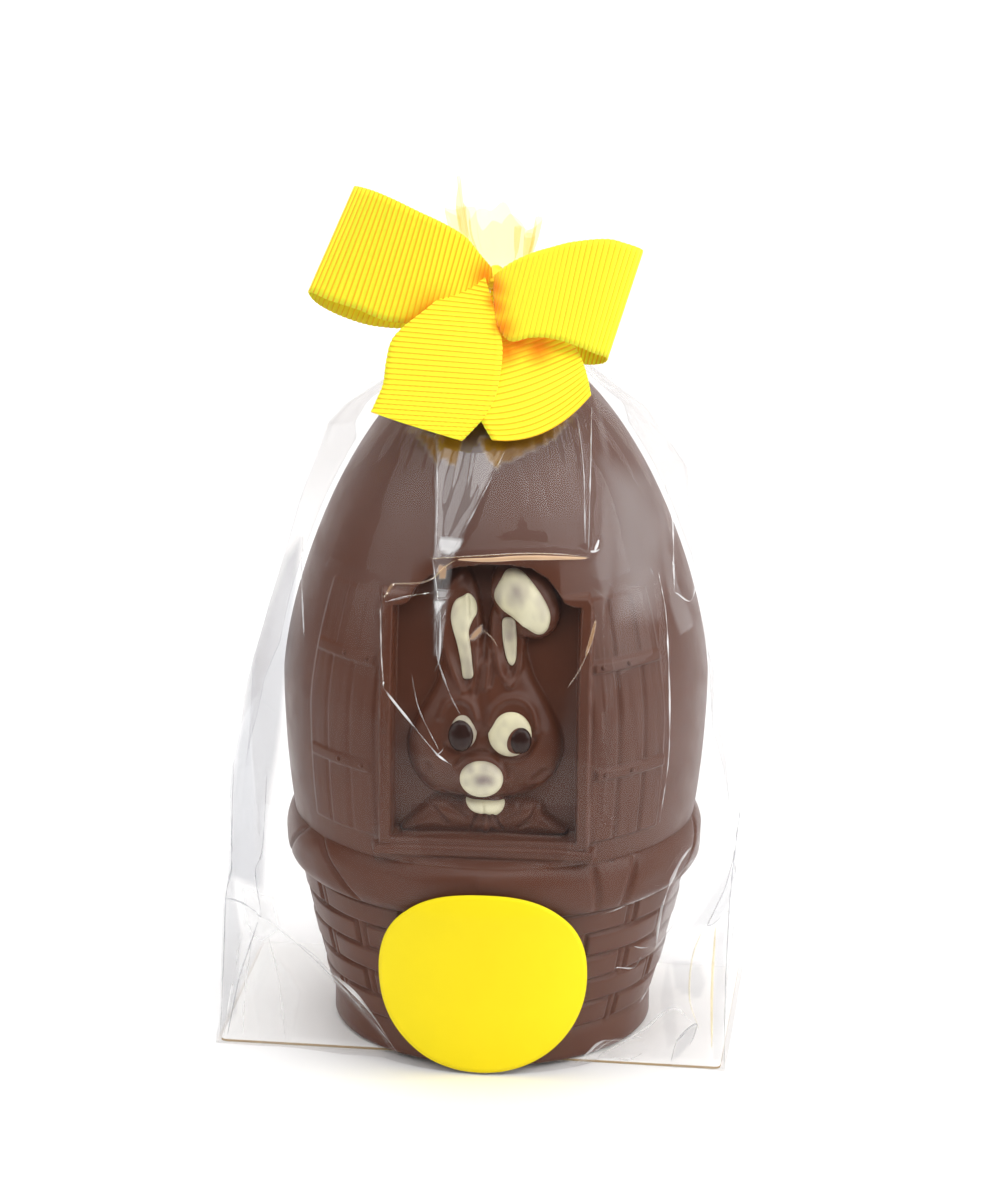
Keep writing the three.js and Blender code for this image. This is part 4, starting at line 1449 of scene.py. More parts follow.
@dataclass
class RoundLabel:
    """Plain round paper label on the bag's front."""

    radius: float = 25.3
    thick: float = 0.18
    x: float = -2.6
    z: float = 25.2

    def build(self, film: "FilmBag") -> Object:
        """Makes the label as a thin closed disc.

        Args:
            film: The bag that it is stuck on.

        Returns:
            The label.
        """
        slope = math.atan2(float(film.wrap(45.0) - film.wrap(5.0)), 40)
        columns = 120
        turn = np.arange(columns) / columns * 2 * math.pi
        rings = []
        shares = np.linspace(0, 1, 22)[1:]
        layers = [(s, self.thick) for s in shares] + [(s, 0.0) for s in shares[::-1]]
        for share, lift in layers:
            square = np.where(np.sin(turn) > 0, 0.86, 0.95)
            across = self.radius * share * np.sign(np.cos(turn)) * np.abs(np.cos(turn)) ** square
            up = np.sign(np.sin(turn)) * np.abs(np.sin(turn)) ** square
            z = self.z + self.radius * share * up * math.cos(slope)
            r = film.wrap(z) + 0.55 + lift + 0.05 * ripple(31, 18, across, z) * share
            a = (self.x + across) / film.wrap(z)
            rings.append(np.stack([r * np.sin(a), -r * np.cos(a), z], -1))
        made = tube("round_label", np.array(rings)[::-1])
        tidy(made)
        return dress(made, Finish.LABEL, "label")


# ---------------------------------------------------------------- film


@dataclass(frozen=True)
class Crease:
    """A hard fold line on the bag's front, as places across and up, with its painted highlight, painted
    reflection tint and painted grey shade.
    """

    line: Polyline
    wide: float = 0.4
    out: float = 0.4
    white: float = 0.4
    warm_reflection: float = 0.0
    shade: float = 0.0


@dataclass(frozen=True)
class Fold:
    """A patch of the bag's front that lies flat, is folded over or has crumpled, with its painted highlight,
    painted grey shade and painted reflections.
    """

    outline: Polyline
    soft: float = 1.5
    out: float = 0.0
    white: float = 0.0
    shade: float = 0.0
    gloss: float | None = None
    warm_reflection: float = 0.0
    gold_reflection: float = 0.0


@dataclass
class FilmBag:
    """Clear block-bottom bag: straight gussets below, tied neck and ruff above."""

    card: BaseCard
    creases: tuple[Crease, ...]
    folds: tuple[Fold, ...]
    wall: float = 0.7
    clear: float = 0.8
    over_nose: float = 2.4
    over_egg: float = 0.15
    over_shutters: float = 1.8
    pane_half: float = 25.7
    pane_half_low: float = 28.2
    least_over_egg: float = 0.45
    least_over_shutters: float = 2.2
    left_crease: Polyline = (
        (0, 65.6), (50, 63.6), (84, 60.4), (106, 54), (130, 47), (148.4, 41.4), (153.5, 36.4), (158, 29.6),
        (166, 18.5), (174, 10),
    )
    right_crease: Polyline = (
        (0, 55), (47, 57.6), (74, 54.4), (110, 47.4), (128, 46), (139, 44.8), (153.5, 35), (160, 25.6),
        (167, 16.5), (174, 9.5),
    )
    tent: Polyline = ((150, 29.3), (155, 25.7), (160, 21.6), (165, 17), (170, 12.5), (175, 8.6), (180, 5.7))
    neck_z: float = 182.0
    neck_radius: float = 5.2
    neck_x: float = -0.8
    neck_y: float = -0.5
    ruff_top: float = 208.0
    front_points: int = 250
    back_points: int = 60
    side_points: int = 26

    def wrap(self, z: Array) -> Array:
        """Radius of the film where it lies on the egg.

        Args:
            z: Heights.

        Returns:
            The radii.
        """
        z = np.asarray(z, float)
        grown = self.clear + self.wall
        low, high = PROFILE.rim_height - 4, PROFILE.rim_height + 2
        under = lerp(PROFILE.foot_radius + 1.6, PROFILE.rim_radius + grown, z / low)
        bridge = lerp(PROFILE.rim_radius, PROFILE.belly_radius, (z - high) / (PROFILE.belly_height - high))
        bridge = np.where(z < PROFILE.belly_height, bridge, 0)
        shell = np.maximum(PROFILE.outer(z), bridge) + grown
        shell = np.where(z < high, PROFILE.rim_radius + grown, shell)
        shell = np.where(z < low, under, shell)
        tent = np.interp(z, *zip(*self.tent))
        return np.where(z < self.tent[0][0], shell, tent)

    def corner(self, side: int, face: int, z: float) -> Array:
        """Where one of the four upright creases stands.

        Args:
            side: -1 left, 1 right.
            face: -1 front, 1 back.
            z: Height.

        Returns:
            Place across and deep.
        """
        lean = math.radians(-self.card.yaw)
        low = max(1 - z / 90, 0)
        twist = math.sin(lean) * self.card.depth * low * 0.5
        table = self.left_crease if side < 0 else self.right_crease
        reach = side * np.interp(z, *zip(*table)) + twist
        deep = lerp(self.card.depth / 2 + 0.6, 3, float(smooth(0, 158, z)) ** 0.8)
        skew = side * math.tan(lean) * 60 * max(1 - z / 120, 0)
        place = np.array([reach + face * twist, face * deep + self.card.y * low - skew])
        least = float(self.wrap(z)) + 0.4
        length = np.hypot(*place)
        return place * least / length if length < least else place

    def face(self, start: Array, end: Array, z: float, front: bool) -> Array:
        """Places along one face of the bag, from crease to crease.

        Args:
            start: The crease that it leaves.
            end: The crease that it reaches.
            z: Height.
            front: True for the face with the window.

        Returns:
            Evenly spaced places, without the last.
        """
        middle = -90 if front else 90
        by_shutters = front and 56.2 < z < WINDOW.top + 4
        radius = float(self.wrap(z)) + (self.over_shutters if by_shutters else self.over_egg)

        def leave(place: Array) -> float:
            """Finds where the film that comes from a crease first lies on the egg.

            Args:
                place: The crease.

            Returns:
                Degrees from the middle of the face.
            """
            bearing = math.degrees(math.atan2(place[1], place[0])) - middle
            turn = abs((bearing + 540) % 360 - 180)
            tangent = turn - math.degrees(math.acos(min(1, radius / np.hypot(*place))))
            return max(40, tangent) if front and z < PROFILE.rim_height else tangent

        a = np.radians(middle + np.linspace(-leave(start), leave(end), 80))
        path = np.stack([radius * np.cos(a), radius * np.sin(a)], -1)
        if by_shutters:
            bars = self.pane_half_low if z < WINDOW.bottom + 6 else self.pane_half
            pane = -float(WINDOW.front(z)) + self.over_nose + self.wall + 0.5
            rise = (z - PROFILE.rim_height - 2) / (WINDOW.top - PROFILE.rim_height - 2)
            bridge = lerp(float(self.wrap(PROFILE.rim_height)), float(self.wrap(WINDOW.top)) + 0.4, rise)
            flat = np.abs(path[:, 0]) < bars
            path[flat, 1] = -np.maximum(pane, np.minimum(-path[flat, 1], bridge))
        path = np.vstack([start, path, end])
        return self.evenly(path, self.front_points if front else self.back_points)

    @staticmethod
    def evenly(path: Array, count: int) -> Array:
        """Spaces the places of a path evenly.

        Args:
            path: Places on it.
            count: How many to return.

        Returns:
            The places, without the path's last.
        """
        lengths = np.concatenate([[0], np.cumsum(np.hypot(*np.diff(path, axis=0).T))])
        want = np.arange(count) / count * lengths[-1]
        return np.stack([np.interp(want, lengths, path[:, k]) for k in (0, 1)], -1)

    def gusset(self, start: Array, end: Array, z: float) -> Array:
        """Places along one side, folded in at the middle as it rises.

        Args:
            start: The crease that it leaves.
            end: The crease that it reaches.
            z: Height.

        Returns:
            Evenly spaced places, without the last.
        """
        fold = 9 * float(smooth(40, 130, z)) * np.clip((170 - z) / 25, 0, 1)
        share = np.arange(self.side_points) / self.side_points
        line = lerp(start, end, share[:, None])
        length = np.hypot(*line.T)
        wanted = length - fold * (1 - np.abs(2 * share - 1))
        least = float(self.wrap(z)) + 0.4
        return line * (np.maximum(wanted, least) / length)[:, None]

    def ring(self, z: float) -> Array:
        """One level of the bag below the neck.

        Args:
            z: Height.

        Returns:
            The ring of points, from the front's left crease round to it again.
        """
        fl, fr, br, bl = (self.corner(s, f, z) for s, f in ((-1, -1), (1, -1), (1, 1), (-1, 1)))
        front, right = self.face(fl, fr, z, True), self.gusset(fr, br, z)
        back, left = self.face(br, bl, z, False), self.gusset(bl, fl, z)
        flat = np.vstack([front, right, back, left])
        return np.column_stack([flat, np.full(len(flat), z)])

    def gathered(self, z: float, half_width: float, half_depth: float, pleat: float) -> Array:
        """One gathered level at the neck or in the ruff.

        Args:
            z: Height.
            half_width: Half the width.
            half_depth: Half the depth.
            pleat: Depth of the pleats, as a share of the radius.

        Returns:
            The ring of points.
        """
        parts = ((-142, -38, self.front_points), (-38, 38, self.side_points))
        parts += ((38, 142, self.back_points), (142, 218, self.side_points))
        a = np.radians(np.concatenate([np.linspace(low, high, n, endpoint=False) for low, high, n in parts]))
        open_ = float(smooth(self.neck_z + 3, self.ruff_top, z))
        uneven = np.sin(7 * a) + 0.5 * np.sin(13 * a + 1.3) + 0.35 * np.sin(21 * a + 0.4)
        wave = 1 + pleat * uneven
        peak = sum(np.exp(-((off / 16) ** 2)) for off in ((np.degrees(a) + 155) % 360, np.degrees(a) - 205))
        rim = -9.5 + 1.8 * np.sin(5 * a + 0.8) + 1.1 * np.sin(11 * a) + 9.5 * np.minimum(peak, 1)
        rim = rim - 3.4 * np.clip(np.cos(a), 0, 1)
        x = self.neck_x + half_width * wave * np.cos(a) - 1.2 * open_
        y = self.neck_y + half_depth * wave * np.sin(a)
        return np.stack([x, y, z + np.minimum(rim, 0) * open_**0.8], -1)

    def wrinkles(self, rings: Array) -> tuple[Array, dict[str, Array]]:
        """Creases, pleats and folds of the loose film.

        Args:
            rings: The bag's smooth form.

        Returns:
            How far each place moves outwards, and the marks that the finish reads: painted highlights and
            haze, painted grey shade, painted reflections and gloss.
        """
        x, y, z = rings[..., 0], rings[..., 1], rings[..., 2]
        bearing = np.degrees(np.arctan2(x, -y))
        loose = np.clip((np.hypot(x, y) - self.wrap(z) - 1.5) / 8, 0, 1)
        near_neck = smooth(128, 162, z) * smooth(self.neck_z, self.neck_z - 8, z)
        swing = bearing + 5 * ripple(41, 50, x, z)
        pleats = near_neck * (0.9 * fold_wave(swing / 19) + 0.5 * fold_wave(swing / 7.3 + 0.3) - 0.3)
        sides = loose * 0.8 * ripple(43, 70, x * 0.7, z)
        crumpled = smooth(50, 24, z) * smooth(24, 34, np.abs(x)) * smooth(60, 48, np.abs(x))
        skirt = 0.5 * crumpled * ridged(45, 30, x, z)
        taut = 0.05 * ripple(46, 26, x, z)
        out = pleats + sides + skirt + taut
        marks = {name: np.zeros(z.shape) for name in FILM_MARKS}
        left = smooth(-18, -34, x) * smooth(118, 104, z)
        gloss = lerp(0.16, 0.28, smooth(122, 140, z)) * lerp(1, 0.22, left) * lerp(0.5, 1, smooth(52, 60, z))
        marks["gloss"] = np.maximum(gloss, 0.4 * np.maximum(loose, smooth(54, 60, np.abs(x))))
        # painted yellow reflection of the ribbon over the ruff
        marks["warm_reflection"] = 0.55 * smooth(self.neck_z - 2, self.neck_z + 6, z)
        # painted highlights on the crests of the pleats under the neck
        marks["crease"] = 0.10 * smooth(0.55, 0.95, near_neck * fold_wave(swing / 7.3 + 0.3))
        front = np.zeros(z.shape, bool)
        front[:, : self.front_points] = True
        fx, fz = x[front], z[front]
        for fold in self.folds:
            within = smooth(fold.soft / 2, -fold.soft / 2, outside_by(fx, fz, fold.outline))
            out[front] += fold.out * within
            amounts = {"crease": fold.white, "shade": fold.shade, "warm_reflection": fold.warm_reflection, "gold_reflection": fold.gold_reflection}
            for name, amount in amounts.items():
                marks[name][front] = np.maximum(marks[name][front], amount * within)
            if fold.gloss is not None:
                marks["gloss"][front] = lerp(marks["gloss"][front], fold.gloss, within)
        for crease in self.creases:
            off = from_line(fx, fz, crease.line)
            out[front] += crease.out * np.exp(-((off / 0.9) ** 2))
        # a faint painted haze of reflection over all the film, stronger where it is glossier
        marks["crease"] = np.maximum(marks["crease"], np.minimum(0.12 * marks["gloss"], 0.04))
        return out, marks

    def build(self) -> Object:
        """Makes the film as one skin from the card to the top of the ruff.

        Returns:
            The film.
        """
        levels = np.concatenate([[0.06], np.arange(1.0, 56), np.arange(56, 130, 0.6), np.arange(130.0, 173)])
        rings = [self.ring(float(z)) for z in levels]
        neck = self.neck_z
        r = self.neck_radius
        last = rings[-1]
        throat = self.gathered(neck - 3.5, r + 0.1, r - 0.2, 0.04)
        rings += [lerp(last, throat, t) for t in smooth(0, 1, np.linspace(0, 1, 7)[1:])]
        for t in np.linspace(0, 1, 5)[1:]:
            rings.append(self.gathered(lerp(neck - 3.5, neck + 2.5, t), r - 0.2, r - 0.4, 0.04))
        for t in np.linspace(0, 1, 24)[1:]:
            wide = lerp(r, 9.6, t**0.7)
            deep = lerp(r - 0.2, 5.4, t**0.7)
            rings.append(self.gathered(lerp(neck + 2.5, self.ruff_top, t), wide, deep, 0.05 + 0.13 * t**0.6))
        rings = np.array(rings)
        out, marks = self.wrinkles(rings)
        ahead = np.roll(rings, -1, 1) - np.roll(rings, 1, 1)
        normal = np.stack([ahead[..., 1], -ahead[..., 0]], -1)
        normal /= np.maximum(np.linalg.norm(normal, axis=-1, keepdims=True), 1e-9)
        inset = self.wall * 0.55 * smooth(1, 6, rings[..., 2]) * smooth(neck, neck - 12, rings[..., 2])
        moved = rings.copy()
        moved[..., :2] += normal * (out - inset)[..., None]
        self.keep_clear(moved)
        made = tube("film_bag", moved, close_high=False)
        for name, values in marks.items():
            set_numbers(made, name, np.concatenate([values.ravel(), [0.0]]))
        self.crease_lines(moved[: len(levels), : self.front_points])
        return dress(made, Finish.FILM, "bag")

    def crease_lines(self, front: Array) -> Object:
        """Makes thin strips along the hard creases that carry their painted highlights, reflections and
        shade.

        Args:
            front: Points of the film's front, level by level.

        Returns:
            All the strips as one piece of film.
        """
        heights = front[:, 0, 2]

        def depth(x: Array, z: Array) -> Array:
            """Finds the film's depth at places on its front.

            Args:
                x: Places across.
                z: Places up.

            Returns:
                The depths, as y.
            """
            place = np.interp(z, heights, np.arange(len(heights)))
            low = np.minimum(place.astype(int), len(heights) - 2)
            under, over = (
                np.array([np.interp(a, front[r, :, 0], front[r, :, 1]) for a, r in zip(x, low + k)])
                for k in (0, 1)
            )
            return lerp(under, over, place - low)

        points, faces, highlights, tints, first = [], [], [], [], 0
        for number, crease in enumerate(self.creases):
            length = np.hypot(*np.diff(np.array(crease.line), axis=0).T).sum()
            count = max(16, int(length / 0.35))
            curve = spline(crease.line, count)
            ahead = np.gradient(curve, axis=0)
            side = np.stack([-ahead[:, 1], ahead[:, 0]], -1) / np.linalg.norm(ahead, axis=1, keepdims=True)
            t = np.linspace(0, 1, count)
            life = ripple(70 + number, 9, t * length, t * 0) * (1 - crease.warm_reflection)
            wide = crease.wide * np.sin(math.pi * t) ** 0.4 * (0.75 + 0.45 * life)
            for share in (-0.5, 0.0, 0.5):
                flat = curve + side * (share * wide)[:, None]
                lift = 0.28 + 0.25 * (share == 0)
                points.append(np.stack([flat[:, 0], depth(*flat.T) - lift, flat[:, 1]], -1))
                # the painted highlight along the crease, uneven along its length
                highlights.append(np.clip(crease.white * (0.65 + 0.6 * life), 0, 1))
                # painted reflection tint and painted grey shade along the crease
                tints.append(np.tile((crease.warm_reflection, crease.shade), (count, 1)))
            for row in (0, 1):
                for k in range(count - 1):
                    a = first + row * count + k
                    faces.append([a, a + count, a + count + 1, a + 1])
            first += 3 * count
        made = to_object("film_crease_glints", np.vstack(points), faces)
        set_numbers(made, "crease", np.concatenate(highlights))
        for name, values in zip(("warm_reflection", "shade"), np.vstack(tints).T):
            set_numbers(made, name, values)
        set_numbers(made, "gloss", np.full(first, 1.5))
        return dress(made, Finish.FILM, "bag")

    def keep_clear(self, rings: Array) -> None:
        """Pushes the film out wherever it would touch the egg.

        Args:
            rings: The film's points, changed in place.
        """
        x, y, z = rings[..., 0], rings[..., 1], rings[..., 2]
        radius = np.hypot(x, y)
        bearing = np.degrees(np.arctan2(x, -y)) - PROFILE.yaw
        by_shutters = (np.abs(np.abs(bearing) - 42) < 15) & (z > 57) & (z < 121)
        need = PROFILE.outer(z) + np.where(by_shutters, self.least_over_shutters, self.least_over_egg)
        by_window = (np.abs(bearing) < 33) & (z > 55) & (z < 122)
        need = np.where(by_window, 0, need)
        need = np.where(z > PROFILE.top - 1, 0, need)
        grow = np.maximum(need / np.maximum(radius, 1e-6), 1)
        rings[..., 0] *= grow
        rings[..., 1] *= grow


# ---------------------------------------------------------------- bow


class Hold(Enum):
    """How a piece of ribbon is held."""

    LOOP = "folded"
    TAIL = "hung"


Edge = tuple[Place, ...]


@dataclass(frozen=True)
class RibbonPiece:
    """One run of ribbon, given by its two edges; equal places on the edges share a rib.

    The cut gives the share of each edge where the run ends. Each entry of tucks is a place across and up, and
    the radius of the painted orange shade in the fold there.
    """

    name: str
    node: str
    edge_a: Edge
    edge_b: Edge
    hold: Hold
    middle: Edge = ()
    cut: Pair = (1.0, 1.0)
    shaded_tucks: Edge = ()


@dataclass
class Bow:
    """Grosgrain bow: two loops, two tails and the knot round the neck."""

    width: float = 25.4
    thick: float = 0.34
    rib_height: float = 0.2
    picot: float = 0.16
    across: int = 18
    steps_a_rib: int = 10
    neck: Pair = (-0.8, -0.5)
    knot_z: float = 181.9
    knot_inner: float = 5.9
    knot_radius: float = 6.3
    knot_front: float = 6.2
    pieces: tuple[RibbonPiece, ...] = (
        RibbonPiece(
            "ribbon_loop_left", "bow_loop_left",
            ((-2.1, -12.5, 188.6), (-4.8, -14.5, 192.2), (-8.1, -16.5, 196.6), (-13.1, -18, 200),
             (-18.8, -18.6, 202.8), (-24.6, -18.6, 205.6), (-29.5, -17.6, 207.4), (-33.5, -14, 207.6),
             (-32.2, -10, 205.5), (-26.5, -8.5, 202.8), (-19, -8.6, 199.1), (-11.5, -9, 194.7),
             (-4.8, -9.6, 189.6)),
            ((-1.8, -12.5, 185.6), (-7.2, -15.5, 182), (-12.9, -17.6, 179.1), (-18.6, -18.8, 177),
             (-26.1, -19.2, 177.6), (-32.6, -19.4, 180.2), (-39.2, -19, 182.2), (-43.9, -16, 183.5),
             (-42.4, -12, 179.9), (-36.3, -10.4, 176.3), (-28, -10.2, 174), (-18, -10.2, 174.6),
             (-6.4, -9.8, 182.8)),
            Hold.LOOP, shaded_tucks=((-15.4, 179, 4.6), (-19.5, 176.6, 3), (-3.2, 187, 3.2)),
        ),
        RibbonPiece(
            "ribbon_loop_right", "bow_loop_right",
            ((-1.4, -12.5, 186.7), (0.2, -14.5, 188.6), (3.4, -17, 191.4), (7.5, -18.2, 193.6),
             (11.6, -18.6, 195), (16.5, -18.6, 196.3), (23.9, -18, 196.9), (28.4, -17, 195.7),
             (32.1, -14.5, 193.7), (30.7, -11, 191.7), (24.9, -9.8, 192.8), (16.7, -9.6, 192),
             (8.4, -10, 189.7), (1.8, -9.8, 186.5)),
            ((-1.4, -12.5, 184.8), (-1.2, -16, 181), (-0.3, -19.5, 176.7), (2.4, -21.8, 173.8),
             (6.9, -22.4, 174.8), (11.9, -22.3, 174.7), (18.1, -21.2, 172.5), (21.4, -20, 170.8),
             (24.4, -18, 169.2), (23.4, -15.6, 167.2), (19.5, -15, 166.8), (15.3, -15, 168.3),
             (10.3, -14.6, 170.8), (2.8, -12, 178.3)),
            Hold.LOOP, shaded_tucks=((-0.9, 184.6, 2.6), (-0.7, 180.6, 2.6), (0.6, 176.4, 2.8)),
        ),
        RibbonPiece(
            "ribbon_tail_left", "bow_tail_left",
            ((-5.6, -13.2, 186.8), (-9.7, -15.4, 185.4), (-13.8, -17.8, 182.7), (-17.8, -19.8, 179.7),
             (-21.9, -21.2, 176.7), (-24.7, -22.3, 173.6), (-25.9, -23.6, 169), (-26.5, -25, 164.2),
             (-27.8, -26.2, 161), (-29.2, -27.2, 158), (-30.6, -28.2, 155), (-31.9, -29.2, 152.4)),
            ((-3.8, -14, 186.7), (-2.7, -15, 183.9), (-1.8, -16.5, 181.1), (-0.8, -18.4, 178.2),
             (0.1, -20.6, 174.9), (0.5, -22.4, 171.7), (0.2, -24.4, 167.6), (-0.6, -26.2, 163.2),
             (-1.9, -27.7, 159.9), (-3.9, -29, 157.1), (-6.1, -30, 154.8), (-8.5, -31, 152.5)),
            Hold.TAIL, cut=(0.82, 1.0), shaded_tucks=((-1.6, 181.6, 1.8), (-0.2, 176.6, 1.8)),
        ),
        RibbonPiece(
            "ribbon_tail_right", "bow_tail_right",
            ((-1.8, -10.4, 184.3), (-3.1, -12.4, 180.1), (-4.6, -15.5, 175.7), (-5.9, -19, 171.4),
             (-6.3, -22.4, 167.2), (-6.1, -25.6, 162.9), (-4.3, -28.6, 157.4), (-1.4, -31, 152.7)),
            ((-0.5, -9.6, 184.1), (3.5, -10.2, 181.7), (7.7, -11.2, 179.1), (11.9, -13, 176.1),
             (15.7, -15.4, 172.9), (18.4, -18.4, 169.5), (20, -21.6, 165.6), (20.9, -24.6, 161.8)),
            Hold.TAIL, shaded_tucks=((4, 173.4, 3.6), (8.8, 171.4, 3.4), (1.6, 171, 3)),
            middle=((-1.1, -11, 184.4), (0.2, -12.8, 181), (1.5, -15.6, 177.5), (2.8, -18.6, 174),
                    (4.1, -21.6, 170.1), (5.6, -24.2, 165.3), (8, -27, 159.2), (10.5, -29.4, 154.3)),
        ),
    )

    def surface(self, piece: RibbonPiece, steps: int) -> tuple[Array, Array]:
        """The run's middle surface.

        Args:
            piece: The run.
            steps: Rows along it.

        Returns:
            Points as rows and columns, and how far along each lies.
        """
        share = np.broadcast_to(np.linspace(0, 1, self.across), (steps, self.across))
        t = np.linspace(0, 1, steps)[:, None] * lerp(*piece.cut, share)
        a, b = spline(piece.edge_a, t), spline(piece.edge_b, t)
        points = lerp(a, b, share[..., None])
        if piece.middle:
            bulge = spline(piece.middle, t) - (a + b) / 2
            points = points + bulge * (4 * share * (1 - share))[..., None]
        fine = np.linspace(0, 1, 400)
        centre = (spline(piece.edge_a, fine) + spline(piece.edge_b, fine)) / 2
        length = np.concatenate([[0], np.cumsum(np.linalg.norm(np.diff(centre, axis=0), axis=1))])
        return points, np.interp(t, fine, length)

    def strip(self, piece: RibbonPiece) -> Object:
        """Makes one ribbed run of ribbon.

        Args:
            piece: Its edges and how it is held.

        Returns:
            The run, closed and thin.
        """
        _, rough = self.surface(piece, 50)
        steps = int(rough.max() / RIB_PITCH * self.steps_a_rib)
        points, along = self.surface(piece, steps)
        outward = np.zeros(points.shape)
        for edge, inner in ((0, 1), (-1, -2)):
            out = points[:, edge] - points[:, inner]
            outward[:, edge] = out / np.linalg.norm(out, axis=-1, keepdims=True)
        made = to_object(piece.name, points.reshape(-1, 3), quads(steps, self.across, ring_columns=False))
        set_numbers(made, "along", along.ravel() * MM)
        set_numbers(made, "outward", outward.reshape(-1, 3))
        x, y, z = points.reshape(-1, 3).T
        # painted orange shade round each tuck on the front of the run, and an even faint painted shade on its
        # back
        tuck_shade = np.zeros(len(x))
        for tx, tz, reach in piece.shaded_tucks:
            tuck_shade = np.maximum(tuck_shade, np.exp(-((x - tx) ** 2 + (z - tz) ** 2) / reach**2))
        set_numbers(made, "tuck_shade", lerp(0.2, tuck_shade, smooth(-11.5, -14, y)))
        sizes = {"Rib pitch": RIB_PITCH, "Rib height": self.rib_height, "Picot": self.picot}
        rib_tree(Finish.RIBBON.material()).run(made, {name: size * MM for name, size in sizes.items()})
        solidify = made.modifiers.new("wall", "SOLIDIFY")
        solidify.thickness = self.thick * MM
        solidify.offset = 0
        settle(made, solidify)
        dress(made, Finish.RIBBON, piece.node)
        return made

    def knot(self) -> Object:
        """Makes the ribbon wound round the neck with its pinched front.

        Returns:
            The knot.
        """
        rows, columns = 26, 96
        v = np.linspace(-1, 1, rows)
        u = np.arange(columns) / columns * 2 * math.pi
        vv, uu = np.meshgrid(v, u, indexing="ij")
        front = np.exp(-((np.mod(uu + math.pi, 2 * math.pi) - math.pi) / 0.42) ** 2)
        pinch = 0.22 * np.sin(vv * 9 + 2.0 * np.sin(uu * 2)) * (1 - vv**2)
        half_high = lerp(2.1, 2.6, front)
        bulge = (self.knot_front * front + pinch + 0.25) * np.sqrt(np.maximum(1 - vv**2, 0))
        radius = self.knot_radius + bulge
        squeeze = 1 - 0.28 * front
        neck_x, neck_y = self.neck
        x = neck_x + radius * np.sin(uu) * squeeze - 1.0 * front
        y = neck_y - radius * np.cos(uu)
        z = self.knot_z + vv * half_high + 3.4 * front
        outer = np.stack([x, y, z], -1)
        inner_x, inner_y = neck_x + self.knot_inner * np.sin(u), neck_y - self.knot_inner * np.cos(u)
        inner = np.stack([inner_x, inner_y, np.zeros(columns)], -1)
        low, high = inner.copy(), inner.copy()
        low[:, 2] = z[0]
        high[:, 2] = z[-1]
        rings = np.concatenate([outer, high[None], low[None]])
        faces = quads(len(rings), columns, ring_rows=True)
        made = to_object("bow_knot_dressed", rings.reshape(-1, 3), faces)
        tidy(made)
        set_numbers(made, "along", np.full(len(made.data.vertices), RIB_PITCH * MM / 2))
        # an even painted orange shade over the whole knot
        set_numbers(made, "tuck_shade", np.full(len(made.data.vertices), 0.35))
        return dress(made, Finish.RIBBON, "bow_knot")

    def build(self) -> None:
        """Makes the whole bow."""
        self.knot()
        for piece in self.pieces:
            self.strip(piece)


# ---------------------------------------------------------------- studio


